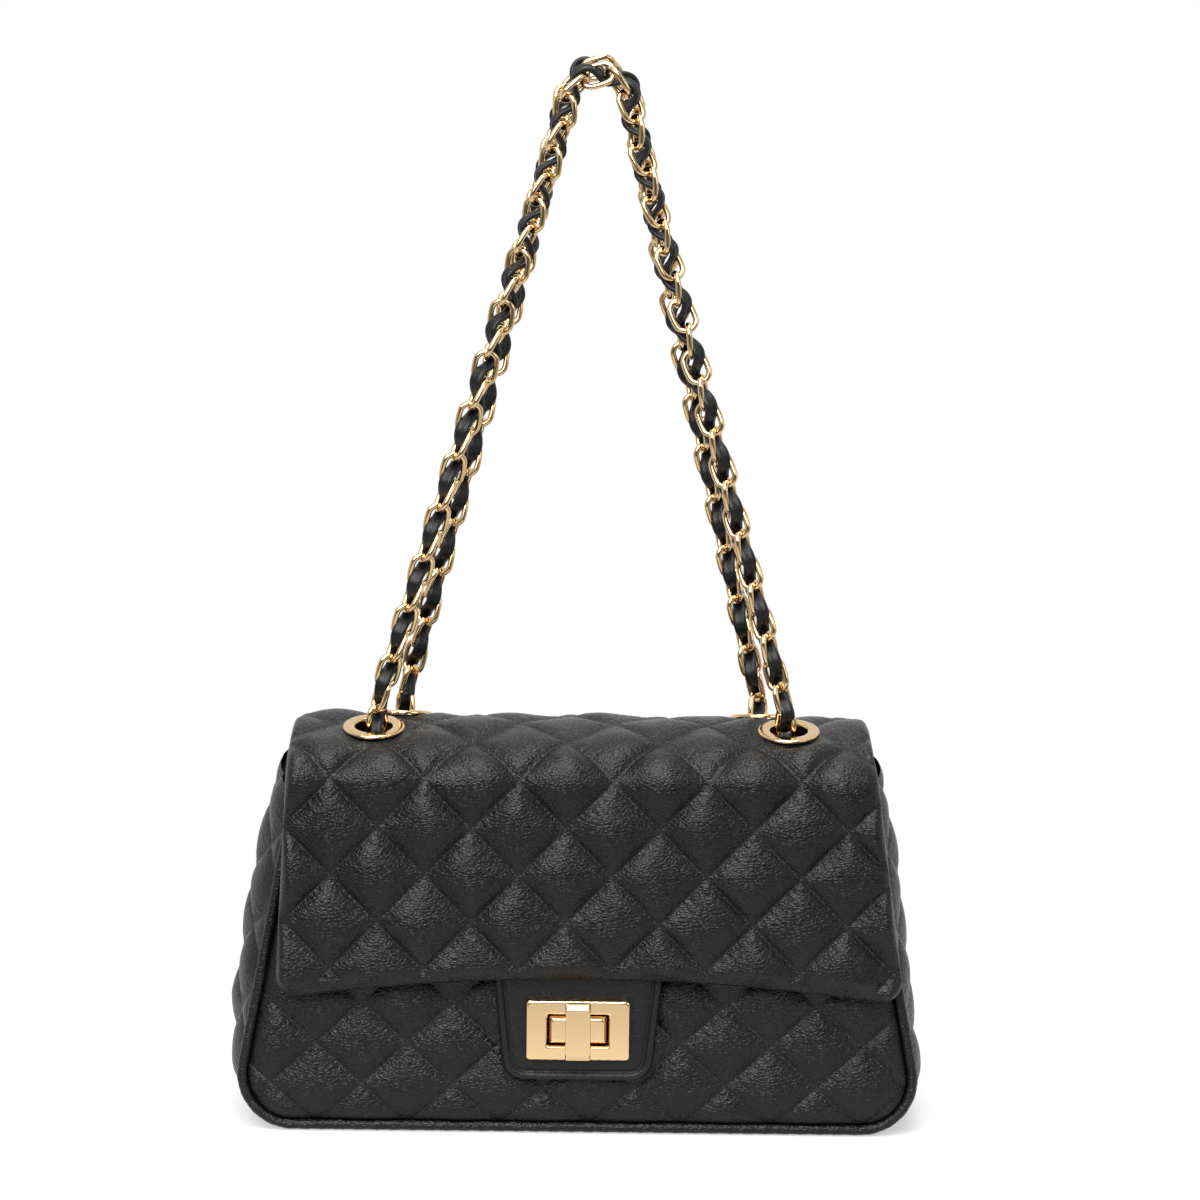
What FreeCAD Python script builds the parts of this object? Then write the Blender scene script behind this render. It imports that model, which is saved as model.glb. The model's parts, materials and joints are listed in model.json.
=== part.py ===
import FreeCAD, Part
import math
import os
from FreeCAD import Placement, Rotation, Vector

os.makedirs("parts", exist_ok=True)

# Every size is in millimetres. X runs across the bag, Y from front to back and Z up from the floor.

# Bag body: the seam outline is the line that the piping follows
BODY_HEIGHT = 145.5
GUSSET_DROP = 3.0
MOUTH_DROP = 12.0
SEAM_WIDTH_FLOOR = 270.5
SEAM_WIDTH_TOP = 216.0
SEAM_DEPTH_FLOOR = 64.0
SEAM_DEPTH_TOP = 58.0
CORNER_RADIUS = 20.0
PIPING_DIAMETER = 4.0
PIPING_LIFT = 0.4
PANEL_CROWN = 4.0
CROWN_MARGIN = 10.0
GUSSET_THICKNESS = 3.0
GUSSET_STEP = 1.0
GUSSET_SWELL = 5.5
GUSSET_BULGE = 3.5
BOARD_THICKNESS = 2.4
BASE_BOARD_THICKNESS = 2.0
LINING_THICKNESS = 0.8
FACING_THICKNESS = 1.2
FACING_HEIGHT = 16.0

# Flap: a roof over the mouth and a front that hangs over the front panel
FLAP_THICKNESS = 7.0
FLAP_LINING = 1.4
HINGE_DEPTH = 29.0
ROOF_FRONT_SLOPE = 26.0
SHOULDER_RADIUS = 12.0
FLAP_WIDTH_TOP = 222.0
FLAP_WIDTH_HEM = 243.0
HEM_CENTRE_HEIGHT = 64.5
HEM_CORNER_HEIGHT = 56.5
HEM_CORNER_RADIUS = 9.0

# Tongue and turn lock, in a frame that lies on the front panel
LOCK_HEIGHT = 44.0
TONGUE_WIDTH_TOP = 68.0
TONGUE_WIDTH_END = 57.0
TONGUE_DROP = 20.5
TONGUE_RISE = 34.0
TONGUE_CORNER = 9.0
TONGUE_THICKNESS = 4.0
TONGUE_LINING = 1.2
TONGUE_GAP = 0.4
PLATE_WIDTH = 40.0
PLATE_HEIGHT = 23.6
PLATE_THICKNESS = 3.0
PLATE_CHAMFER = 0.8
WINDOW_WIDTH = 23.8
WINDOW_HEIGHT = 12.4
BOSS_GAP = 0.7
BOSS_CHAMFER = 1.0
BOSS_RECESS = 0.4
WASHER_THICKNESS = 0.8
WASHER_MARGIN = 2.0
PRONG_WIDTH = 3.0
PRONG_THICKNESS = 0.9
PRONG_FOOT = 2.0
PRONG_INSET = 1.6
BAR_WIDTH = 9.8
BAR_LENGTH = 22.8
BAR_THICKNESS = 3.2
BAR_CHAMFER = 1.3
BAR_GAP = 0.5
STEM_RADIUS = 2.5
STEM_HEAD_RADIUS = 3.6
STEM_HEAD_THICKNESS = 0.8
STEM_HEAD_SET = 0.6
SPRING_THICKNESS = 1.0
SPRING_RADIUS = 4.0
SPRING_HOLE_RADIUS = 2.8
POCKET_RADIUS = 4.3
RUN_CLEARANCE = 0.05

# Grommets in the roof of the flap
GROMMET_FRONT_X = 80.5
GROMMET_REAR_X = 71.0
GROMMET_FRONT_Y = -19.0
GROMMET_REAR_Y = 13.0
GROMMET_RADIUS = 12.0
GROMMET_HOLE_RADIUS = 7.3
GROMMET_FLANGE = 1.4
GROMMET_WALL = 0.8
GROMMET_EDGE = 0.5
GROMMET_ROLL = 1.3
GROMMET_WASHER = 1.0
GROMMET_WASHER_DROP = 1.2

# Chain and the lace woven through it
LINK_PITCH = 10.25
LINK_WIRE = 1.9
LINK_WIDTH = 11.4
LINK_PLAY = 0.4
STRAND_LINKS = 51
INNER_LINKS = 7
LEG_LINKS = 22
STRAP_APEX_X = 5.0
STRAP_APEX_RADIUS = 12.0
STRAP_APEX_GAP = 14.0
STRAP_APEX_Y = -2.0
STRAP_WAIST = 4.5
STRAP_WAIST_SHARE = 0.76
STRAP_TALLEST = 340.0
HINGE_RISE = 8.0
INNER_RADIUS = 11.0
INNER_DEEPEST = 60.0
LACE_RADIUS = 1.6
LACE_SWING = 7.0
LACE_BEND = 2.2

# Fits
SEAM_CLEARANCE = 0.1
LAYER_CLEARANCE = 0.3
CUT_OVERRUN = 5.0
BISECTION_STEPS = 60

piping_radius = PIPING_DIAMETER / 2
piping_height = piping_radius + PIPING_LIFT
gusset_height = BODY_HEIGHT - GUSSET_DROP
mouth_height = BODY_HEIGHT - MOUTH_DROP


# Planes that lean with the front and back of the bag


def seam_plane(side, shift):
    """Y at the floor and at the top of a plane set inwards by shift from the front (-1) or back (+1) seam."""
    return (
        side * (SEAM_DEPTH_FLOOR / 2 - shift),
        side * (SEAM_DEPTH_TOP / 2 - shift),
    )


MIDDLE = (0.0, 0.0)


def on_plane(plane, x, z):
    return Vector(x, plane[0] + (plane[1] - plane[0]) * z / BODY_HEIGHT, z)


def seam_half(z):
    return (SEAM_WIDTH_FLOOR + (SEAM_WIDTH_TOP - SEAM_WIDTH_FLOOR) * z / BODY_HEIGHT) / 2


def corner_points(inset, bottom, top):
    """Bottom tangent point, corner middle, side tangent point and top end of the outline's right half."""
    corner = Vector(seam_half(bottom) - inset, bottom, 0)
    end = Vector(seam_half(top) - inset, top, 0)
    along = (end - corner).normalize()
    inwards = Vector(-1, 0, 0)
    radius = CORNER_RADIUS - inset
    half_angle = inwards.getAngle(along) / 2
    tangent = radius / math.tan(half_angle)
    bisector = (inwards + along).normalize()
    middle = corner + bisector * (radius / math.sin(half_angle) - radius)
    return corner + inwards * tangent, middle, corner + along * tangent, end


def outline_edges(inset, bottom, top, plane, bulge):
    """The outline's edges from the right top end, round the bottom, to the left top end."""
    flat, middle, side, end = corner_points(inset, bottom, top)
    swell = (side + end) / 2 + Vector(bulge, 0, 0)

    def at(point, hand):
        return on_plane(plane, hand * point.x, point.y)

    def wall(hand):
        if bulge:
            return Part.Arc(at(end, hand), at(swell, hand), at(side, hand)).toShape()
        return Part.makeLine(at(end, hand), at(side, hand))

    def bend(hand):
        return Part.Arc(at(side, hand), at(middle, hand), at(flat, hand)).toShape()

    floor = Part.makeLine(at(flat, 1), at(flat, -1))
    return [wall(1), bend(1), floor, bend(-1), wall(-1)]


def outline(inset, bottom, top, plane, bulge=0):
    edges = outline_edges(inset, bottom, top, plane, bulge)
    ends = [on_plane(plane, hand * (seam_half(top) - inset), top) for hand in (-1, 1)]
    return Part.Wire(edges + [Part.makeLine(ends[0], ends[1])])


def box(low, high):
    size = high - low
    return Part.makeBox(size.x, size.y, size.z, low)


def save(name, shapes):
    solids = [solid for shape in shapes for solid in shape.Solids]
    whole = solids[0] if len(solids) == 1 else Part.makeCompound(solids)
    whole.exportStep("parts/" + name + ".step")
    print(name, len(solids), round(whole.Volume), whole.isValid())


# Front and back panels, with a crowned face, and the stiffening boards behind them

gusset_shift = piping_radius + SEAM_CLEARANCE
panel_inset = piping_radius + SEAM_CLEARANCE
panel_bottom = piping_height + panel_inset
face_shift = -(piping_radius + PANEL_CROWN)


def panel(side, top):
    crown = panel_inset + CROWN_MARGIN
    sections = [
        outline(panel_inset, panel_bottom, top, seam_plane(side, piping_radius)),
        outline(panel_inset, panel_bottom, top, seam_plane(side, -piping_radius)),
        outline(crown, panel_bottom + CROWN_MARGIN, top - CROWN_MARGIN, seam_plane(side, face_shift)),
    ]
    return Part.makeLoft(sections, True, True)


def gusset_loft(depth, shift, bottom, top):
    """A solid between the two gusset edges, its side walls set in by depth from the gusset's outside."""
    edge = depth - GUSSET_STEP
    swell = depth - GUSSET_STEP - GUSSET_SWELL
    sections = [
        outline(edge, bottom, top, seam_plane(-1, shift)),
        outline(swell, bottom, top, MIDDLE, GUSSET_BULGE),
        outline(edge, bottom, top, seam_plane(1, shift)),
    ]
    return Part.makeLoft(sections, True, False)


board_inset = GUSSET_THICKNESS - GUSSET_STEP + LAYER_CLEARANCE
board_bottom = GUSSET_THICKNESS + BASE_BOARD_THICKNESS + LAYER_CLEARANCE


def board(side):
    near = outline(board_inset, board_bottom, mouth_height, seam_plane(side, piping_radius))
    far = outline(board_inset, board_bottom, mouth_height, seam_plane(side, piping_radius + BOARD_THICKNESS))
    return Part.makeLoft([near, far], True, True)


def piping(side, top):
    edges = outline_edges(0, piping_height, top, seam_plane(side, 0), 0)
    path = Part.Wire(edges)
    start = edges[0].Vertexes[0].Point
    along = edges[0].tangentAt(edges[0].FirstParameter)
    circle = Part.Wire([Part.makeCircle(piping_radius, start, along)])
    return path.makePipeShell([circle], True, False)


front_panel = panel(-1, mouth_height)
back_panel = panel(1, BODY_HEIGHT)
front_board = board(-1)
back_board = board(1)

# Gusset strip round the sides, parted where the side gussets meet the flat base

gusset_outer = gusset_loft(0, gusset_shift, 0, gusset_height)
gusset_inner = gusset_loft(
    GUSSET_THICKNESS, gusset_shift - CUT_OVERRUN, GUSSET_THICKNESS, gusset_height + CUT_OVERRUN
)
gusset = gusset_outer.cut(gusset_inner)
base_half = corner_points(0, 0, BODY_HEIGHT)[0].x
base_half_depth = SEAM_DEPTH_FLOOR / 2 - gusset_shift - SEAM_CLEARANCE
reach = SEAM_WIDTH_FLOOR
base_top = GUSSET_THICKNESS + SEAM_CLEARANCE
base_cut = box(Vector(-base_half, -reach, -CUT_OVERRUN), Vector(base_half, reach, base_top))
base_low = Vector(-base_half, -base_half_depth, 0)
base_panel = box(base_low, Vector(base_half, base_half_depth, GUSSET_THICKNESS))
sides = gusset.cut(base_cut).Solids
left_gusset = min(sides, key=lambda solid: solid.CenterOfMass.x)
right_gusset = max(sides, key=lambda solid: solid.CenterOfMass.x)

base_board_half_depth = SEAM_DEPTH_FLOOR / 2 - piping_radius - BOARD_THICKNESS - LAYER_CLEARANCE
base_board = box(
    Vector(-base_half, -base_board_half_depth, base_top),
    Vector(base_half, base_board_half_depth, GUSSET_THICKNESS + BASE_BOARD_THICKNESS),
)

# Lining, open at the top, and the leather facing round its mouth

lining_depth = GUSSET_THICKNESS + LAYER_CLEARANCE
lining_shift = piping_radius + BOARD_THICKNESS + LAYER_CLEARANCE
lining_floor = board_bottom
facing_depth = lining_depth + LINING_THICKNESS + SEAM_CLEARANCE
facing_shift = lining_shift + LINING_THICKNESS + SEAM_CLEARANCE
above = mouth_height + CUT_OVERRUN
lining = gusset_loft(lining_depth, lining_shift, lining_floor, mouth_height).cut(
    gusset_loft(
        lining_depth + LINING_THICKNESS,
        lining_shift + LINING_THICKNESS,
        lining_floor + LINING_THICKNESS,
        above,
    )
)
facing_band = box(
    Vector(-reach, -reach, mouth_height - FACING_HEIGHT), Vector(reach, reach, mouth_height)
)
facing = gusset_loft(facing_depth, facing_shift, lining_floor + LINING_THICKNESS, above).cut(
    gusset_loft(
        facing_depth + FACING_THICKNESS,
        facing_shift + FACING_THICKNESS,
        lining_floor + LINING_THICKNESS,
        above + CUT_OVERRUN,
    )
)
mouth_facing = facing.common(facing_band)

# Flap section: the middle line runs from the hinge over the roof, round the shoulder and down the front

lean = math.atan((SEAM_DEPTH_FLOOR - SEAM_DEPTH_TOP) / 2 / BODY_HEIGHT)
face_floor, face_top = seam_plane(-1, face_shift)
flap_half = FLAP_THICKNESS / 2
flap_stand = TONGUE_GAP + TONGUE_THICKNESS + SEAM_CLEARANCE + flap_half
hinge = Vector(0, HINGE_DEPTH, BODY_HEIGHT + LAYER_CLEARANCE + flap_half)
slope = math.radians(ROOF_FRONT_SLOPE)
shoulder_z = hinge.z - SHOULDER_RADIUS * math.cos(slope)


def front_line(z):
    """Y of the flap's middle line on its front, at height z."""
    return face_floor + (face_top - face_floor) * z / BODY_HEIGHT - flap_stand / math.cos(lean)


shoulder = Vector(0, front_line(shoulder_z) + SHOULDER_RADIUS / math.cos(lean), shoulder_z)
crest_way = Vector(0, -math.sin(slope), math.cos(slope))
roof_front = shoulder + crest_way * SHOULDER_RADIUS
to_hinge = hinge - roof_front
roof_radius = -to_hinge.dot(to_hinge) / to_hinge.dot(crest_way) / 2
roof_centre = roof_front - crest_way * roof_radius
front_way = Vector(0, -math.cos(lean), math.sin(lean))


def turned(centre, first, last, radius):
    middle = (first + last).normalize()
    return Part.Arc(centre + first * radius, centre + middle * radius, centre + last * radius).toShape()


def flap_band(inner, outer, end_z):
    """The flap's section between two offsets from its middle line, pushed out across the bag."""
    hinge_way = (hinge - roof_centre).normalize()
    foot = Vector(0, front_line(end_z), end_z)
    chains = []
    for offset in (inner, outer):
        roof = turned(roof_centre, hinge_way, crest_way, roof_radius + offset)
        bend = turned(shoulder, crest_way, front_way, SHOULDER_RADIUS + offset)
        top = shoulder + front_way * (SHOULDER_RADIUS + offset)
        chains.append([roof, bend, Part.makeLine(top, foot + front_way * offset)])
    starts = [roof_centre + hinge_way * (roof_radius + offset) for offset in (inner, outer)]
    feet = [foot + front_way * offset for offset in (inner, outer)]
    closers = [Part.makeLine(starts[0], starts[1]), Part.makeLine(feet[0], feet[1])]
    edges = Part.__sortEdges__(chains[0] + chains[1] + closers)
    face = Part.Face(Part.Wire(edges))
    face.translate(Vector(-reach / 2, 0, 0))
    return face.extrude(Vector(reach, 0, 0))


def flap_cut():
    """The flap's outline seen from the front, pushed through the bag."""
    roof_z = hinge.z + FLAP_THICKNESS + CUT_OVERRUN + SHOULDER_RADIUS
    top = Vector(FLAP_WIDTH_TOP / 2, 0, roof_z)
    low = Vector(FLAP_WIDTH_HEM / 2, 0, HEM_CORNER_HEIGHT)
    up = (top - low).normalize()
    round_top = low + up * HEM_CORNER_RADIUS
    round_in = low - Vector(HEM_CORNER_RADIUS, 0, 0)
    diagonal = (round_top + round_in) / 2
    round_middle = diagonal + (low - diagonal) * (math.sqrt(2) - 1)
    hem = Vector(0, 0, HEM_CENTRE_HEIGHT)

    def mirrored(point):
        return Vector(-point.x, 0, point.z)

    edges = [
        Part.makeLine(mirrored(top), top),
        Part.makeLine(top, round_top),
        Part.Arc(round_top, round_middle, round_in).toShape(),
        Part.Arc(round_in, hem, mirrored(round_in)).toShape(),
        Part.Arc(mirrored(round_in), mirrored(round_middle), mirrored(round_top)).toShape(),
        Part.makeLine(mirrored(round_top), mirrored(top)),
    ]
    face = Part.Face(Part.Wire(edges))
    face.translate(Vector(0, -reach / 2, 0))
    return face.extrude(Vector(0, reach, 0))


flap_outline = flap_cut()
hem_foot = HEM_CORNER_HEIGHT - CUT_OVERRUN
layer = FLAP_LINING - flap_half
flap_roll = Part.makeCylinder(flap_half, reach, Vector(-reach / 2, hinge.y, hinge.z), Vector(1, 0, 0))
flap_cover = flap_band(layer, flap_half, hem_foot).fuse(flap_roll).common(flap_outline)
flap_lining = flap_band(-flap_half, layer, hem_foot).cut(flap_roll).common(flap_outline)

# Grommets, each on the roof's own slope


def roof_frame(x, y):
    """The roof's outer point over (x, y) and its outward direction."""
    radius = roof_radius + flap_half
    across = y - roof_centre.y
    point = Vector(x, y, roof_centre.z + math.sqrt(radius * radius - across * across))
    centre = Vector(x, roof_centre.y, roof_centre.z)
    return point, (point - centre).normalize()


def placed(shape, point, outward):
    moved = shape.copy()
    moved.Placement = Placement(point, Rotation(Vector(0, 0, 1), outward))
    return moved


def revolved(corners):
    points = [Vector(r, 0, z) for r, z in corners]
    face = Part.Face(Part.makePolygon(points + points[:1]))
    return face.revolve(Vector(0, 0, 0), Vector(0, 0, 1), 360)


barrel_radius = GROMMET_HOLE_RADIUS + GROMMET_WALL
washer_top = -FLAP_THICKNESS - GROMMET_WASHER_DROP
washer_base = washer_top - GROMMET_WASHER
roll_base = washer_base - GROMMET_WALL
grommet = revolved(
    [
        (GROMMET_HOLE_RADIUS, roll_base),
        (barrel_radius + GROMMET_ROLL, roll_base),
        (barrel_radius + GROMMET_ROLL, washer_base),
        (barrel_radius, washer_base),
        (barrel_radius, 0),
        (GROMMET_RADIUS, 0),
        (GROMMET_RADIUS, GROMMET_EDGE),
        ((GROMMET_RADIUS + GROMMET_HOLE_RADIUS) / 2, GROMMET_FLANGE),
        (GROMMET_HOLE_RADIUS, GROMMET_EDGE),
    ]
)
washer_hole = barrel_radius + SEAM_CLEARANCE
grommet_washer = revolved(
    [
        (washer_hole, washer_base),
        (GROMMET_RADIUS, washer_base),
        (GROMMET_RADIUS, washer_top),
        (washer_hole, washer_top),
    ]
)
hole = Part.makeCylinder(
    washer_hole, FLAP_THICKNESS + CUT_OVERRUN + CUT_OVERRUN, Vector(0, 0, -FLAP_THICKNESS - CUT_OVERRUN)
)
grommet_places = {
    "front_left": (-GROMMET_FRONT_X, GROMMET_FRONT_Y),
    "front_right": (GROMMET_FRONT_X, GROMMET_FRONT_Y),
    "rear_left": (-GROMMET_REAR_X, GROMMET_REAR_Y),
    "rear_right": (GROMMET_REAR_X, GROMMET_REAR_Y),
}
for x, y in grommet_places.values():
    point, outward = roof_frame(x, y)
    punch = placed(hole, point, outward)
    flap_cover = flap_cover.cut(punch)
    flap_lining = flap_lining.cut(punch)

# Tongue and turn lock, drawn flat: X across, Y up the front panel, Z outwards from its face

lock_point = Vector(0, face_floor + (face_top - face_floor) * LOCK_HEIGHT / BODY_HEIGHT, LOCK_HEIGHT)
lock_frame = Placement(lock_point, Rotation(Vector(1, 0, 0), 90 - math.degrees(lean)))


def on_face(shape):
    moved = shape.copy()
    moved.Placement = lock_frame
    return moved


def block(width, height, low, high):
    return box(Vector(-width / 2, -height / 2, low), Vector(width / 2, height / 2, high))


def tongue_slab(low, high):
    half_top = TONGUE_WIDTH_TOP / 2
    half_end = TONGUE_WIDTH_END / 2
    points = [
        Vector(half_top, TONGUE_RISE, low),
        Vector(-half_top, TONGUE_RISE, low),
        Vector(-half_end, -TONGUE_DROP, low),
        Vector(half_end, -TONGUE_DROP, low),
    ]
    slab = Part.Face(Part.makePolygon(points + points[:1])).extrude(Vector(0, 0, high - low))
    lower = [
        edge
        for edge in slab.Edges
        if edge.BoundBox.YMax < 0 and edge.BoundBox.ZLength > edge.BoundBox.XLength
    ]
    return slab.makeFillet(TONGUE_CORNER, lower)


tongue_split = TONGUE_GAP + TONGUE_LINING
tongue_face = TONGUE_GAP + TONGUE_THICKNESS
plate_face = tongue_face + PLATE_THICKNESS
window = block(WINDOW_WIDTH, WINDOW_HEIGHT, -CUT_OVERRUN, plate_face + CUT_OVERRUN)
foot_top = tongue_split + PRONG_THICKNESS
plate_washer_top = foot_top + WASHER_THICKNESS
washer_width = PLATE_WIDTH - WASHER_MARGIN
washer_height = PLATE_HEIGHT - WASHER_MARGIN


def prongs(half_x, half_y, head, foot_high, foot_low):
    """Four tabs from head down to foot_low, each with its end bent outwards along X."""
    out = []
    for hand in (-1, 1):
        for rise in (-1, 1):
            near = hand * half_x
            far = hand * (half_x + PRONG_THICKNESS)
            toe = hand * (half_x + PRONG_THICKNESS + PRONG_FOOT)
            low_y = rise * half_y - PRONG_WIDTH / 2
            high_y = rise * half_y + PRONG_WIDTH / 2
            tab = box(Vector(min(near, far), low_y, foot_low), Vector(max(near, far), high_y, head))
            foot = box(Vector(min(near, toe), low_y, foot_low), Vector(max(near, toe), high_y, foot_high))
            out.append(tab.fuse(foot))
    return out


def grown(low, high, half_x, half_y):
    """Slots for the prongs, a little larger than their tabs."""
    out = []
    for hand in (-1, 1):
        for rise in (-1, 1):
            near = hand * (half_x - SEAM_CLEARANCE)
            far = hand * (half_x + PRONG_THICKNESS + SEAM_CLEARANCE)
            half = PRONG_WIDTH / 2 + SEAM_CLEARANCE
            out.append(
                box(
                    Vector(min(near, far), rise * half_y - half, low),
                    Vector(max(near, far), rise * half_y + half, high),
                )
            )
    return out


def without(shape, tools):
    for tool in tools:
        shape = shape.cut(tool)
    return shape


def with_all(shape, pieces):
    for piece in pieces:
        shape = shape.fuse(piece)
    return shape.removeSplitter()


plate_prong_x = WINDOW_WIDTH / 2 + PRONG_INSET
plate_prong_y = PLATE_HEIGHT / 2 - PRONG_INSET - PRONG_WIDTH
plate_slots = grown(-CUT_OVERRUN, tongue_face + CUT_OVERRUN, plate_prong_x, plate_prong_y)
pocket = block(
    washer_width + SEAM_CLEARANCE + SEAM_CLEARANCE,
    washer_height + SEAM_CLEARANCE + SEAM_CLEARANCE,
    tongue_split,
    plate_washer_top,
)
tongue = without(tongue_slab(tongue_split, tongue_face), [window, pocket] + plate_slots)
tongue_lining = tongue_slab(TONGUE_GAP, tongue_split).cut(window)
plate_washer = without(block(washer_width, washer_height, foot_top, plate_washer_top), [window] + plate_slots)
plate_blank = block(PLATE_WIDTH, PLATE_HEIGHT, tongue_face, plate_face)
plate_rim = [edge for edge in plate_blank.Edges if edge.BoundBox.ZMin > tongue_face + PLATE_CHAMFER]
plate_blank = plate_blank.makeChamfer(PLATE_CHAMFER, plate_rim).cut(window)
lock_plate = with_all(
    plate_blank, prongs(plate_prong_x, plate_prong_y, tongue_face, foot_top, tongue_split)
)

boss_width = WINDOW_WIDTH - BOSS_GAP - BOSS_GAP
boss_height = WINDOW_HEIGHT - BOSS_GAP - BOSS_GAP
boss_top = plate_face - BOSS_RECESS
panel_back = face_shift - piping_radius
board_back = panel_back - BOARD_THICKNESS
boss_prong_x = boss_width / 2 - PRONG_INSET - PRONG_THICKNESS
boss_prong_y = boss_height / 2 - PRONG_INSET
lock_washer_top = panel_back
lock_washer_base = lock_washer_top - WASHER_THICKNESS
boss_slots = grown(board_back - CUT_OVERRUN, 0, boss_prong_x, boss_prong_y)
boss_blank = block(boss_width, boss_height, 0, boss_top)
boss_rim = [edge for edge in boss_blank.Edges if edge.BoundBox.ZMin > boss_top - BOSS_CHAMFER]
boss_blank = boss_blank.makeChamfer(BOSS_CHAMFER, boss_rim)
boss_blank = boss_blank.cut(Part.makeCylinder(STEM_RADIUS + RUN_CLEARANCE, boss_top + CUT_OVERRUN))
pocket_top = STEM_HEAD_SET + STEM_HEAD_THICKNESS + RUN_CLEARANCE + SPRING_THICKNESS
boss_blank = boss_blank.cut(Part.makeCylinder(POCKET_RADIUS, pocket_top))
boss_prongs = prongs(
    boss_prong_x, boss_prong_y, 0, lock_washer_base, lock_washer_base - PRONG_THICKNESS
)
lock_boss = with_all(boss_blank, boss_prongs)
lock_washer_width = boss_width + PRONG_FOOT + PRONG_FOOT
lock_washer_height = boss_height + PRONG_FOOT + PRONG_FOOT
lock_washer = without(
    block(lock_washer_width, lock_washer_height, lock_washer_base, lock_washer_top), boss_slots
)
board_window = block(
    lock_washer_width + LAYER_CLEARANCE,
    lock_washer_height + LAYER_CLEARANCE,
    board_back - CUT_OVERRUN,
    panel_back + CUT_OVERRUN,
)
front_panel = without(front_panel, [on_face(slot) for slot in boss_slots])
front_board = front_board.cut(on_face(board_window))

spring_base = STEM_HEAD_SET + STEM_HEAD_THICKNESS + RUN_CLEARANCE
turn_spring = Part.makeCylinder(SPRING_RADIUS, SPRING_THICKNESS, Vector(0, 0, spring_base)).cut(
    Part.makeCylinder(SPRING_HOLE_RADIUS, SPRING_THICKNESS, Vector(0, 0, spring_base))
)
bar_base = plate_face + BAR_GAP
bar_top = bar_base + BAR_THICKNESS
bar_blank = block(BAR_WIDTH, BAR_LENGTH, bar_base, bar_top)
bar_tops = [edge for edge in bar_blank.Edges if edge.BoundBox.ZMin > bar_base]
bar_ends = [edge for edge in bar_tops if edge.BoundBox.YLength < BAR_WIDTH]
bar_ends = [edge for edge in bar_ends if edge.BoundBox.XLength > BAR_THICKNESS]
turn_bar = bar_blank.makeChamfer(BAR_CHAMFER, bar_ends)
stem = Part.makeCylinder(STEM_RADIUS, bar_base - STEM_HEAD_SET, Vector(0, 0, STEM_HEAD_SET))
stem_head = Part.makeCylinder(STEM_HEAD_RADIUS, STEM_HEAD_THICKNESS, Vector(0, 0, STEM_HEAD_SET))
turn_bar = with_all(turn_bar, [stem, stem_head])

# Chain: one link, drawn along X with its width along Y

link_half = (LINK_PITCH + LINK_WIRE + LINK_PLAY) / 2
link_bend = (LINK_WIDTH - LINK_WIRE) / 2
link_straight = link_half - link_bend
wire_radius = LINK_WIRE / 2


def make_link():
    pieces = []
    for hand in (-1, 1):
        start = Vector(-link_straight, hand * link_bend, 0)
        pieces.append(Part.makeCylinder(wire_radius, 2 * link_straight, start, Vector(1, 0, 0)))
        end = Part.makeTorus(link_bend, wire_radius, Vector(0, 0, 0), Vector(0, 0, 1), -180, 180, 180)
        end.rotate(Vector(0, 0, 0), Vector(0, 0, 1), -90 if hand > 0 else 90)
        end.translate(Vector(hand * link_straight, 0, 0))
        pieces.append(end)
    return with_all(pieces[0], pieces[1:])


link = make_link()


def link_between(start, end, width_way):
    along = (end - start).normalize()
    across = (width_way - along * width_way.dot(along)).normalize()
    normal = along.cross(across)
    moved = link.copy()
    moved.Placement = Placement((start + end) / 2, Rotation(along, across, normal, "XYZ"))
    return moved


# Paths made of straight runs and tangent arcs


def rounded(points, radius):
    """Runs of (start, end, centre, axis, angle); centre is None for a straight run."""
    runs = []
    last = points[0]
    for before, corner, after in zip(points, points[1:], points[2:]):
        back = (before - corner).normalize()
        ahead = (after - corner).normalize()
        half_angle = back.getAngle(ahead) / 2
        tangent = radius / math.tan(half_angle)
        enter = corner + back * tangent
        leave = corner + ahead * tangent
        centre = corner + (back + ahead).normalize() * (radius / math.sin(half_angle))
        axis = (enter - centre).cross(leave - centre).normalize()
        runs.append((last, enter, None, None, 0))
        runs.append((enter, leave, centre, axis, math.pi - 2 * half_angle))
        last = leave
    runs.append((last, points[-1], None, None, 0))
    return runs


def run_length(run):
    start, end, centre, axis, angle = run
    return (end - start).Length if centre is None else (start - centre).Length * angle


def run_point(run, distance):
    start, end, centre, axis, angle = run
    share = distance / run_length(run)
    if centre is None:
        return start + (end - start) * share
    return centre + Rotation(axis, math.degrees(angle * share)).multVec(start - centre)


def path_point(runs, distance):
    for run in runs[:-1]:
        if distance <= run_length(run):
            return run_point(run, distance)
        distance -= run_length(run)
    return run_point(runs[-1], distance)


def fitted(points_at, low, high, radius, wanted):
    """The rounded path, out of those that points_at gives, with the wanted length."""
    for step in range(BISECTION_STEPS):
        middle = (low + high) / 2
        if sum(run_length(run) for run in rounded(points_at(middle), radius)) < wanted:
            low = middle
        else:
            high = middle
    return rounded(points_at(middle), radius)


def joints_on(runs, count):
    return [path_point(runs, LINK_PITCH * number) for number in range(count + 1)]


def tube(points, radius):
    """A round lace through the points, its corners rounded by tangent arcs."""
    edges = []
    for run in rounded(points, LACE_BEND):
        start, end, centre, axis, angle = run
        if centre is None:
            edges.append(Part.makeLine(start, end))
        else:
            edges.append(Part.Arc(start, run_point(run, run_length(run) / 2), end).toShape())
    along = points[1] - points[0]
    circle = Part.Wire([Part.makeCircle(radius, points[0], along)])
    return Part.Wire(edges).makePipeShell([circle], True, False)


# Strands: each leaves two grommets, and its first joint lies over the grommet's own line

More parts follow.
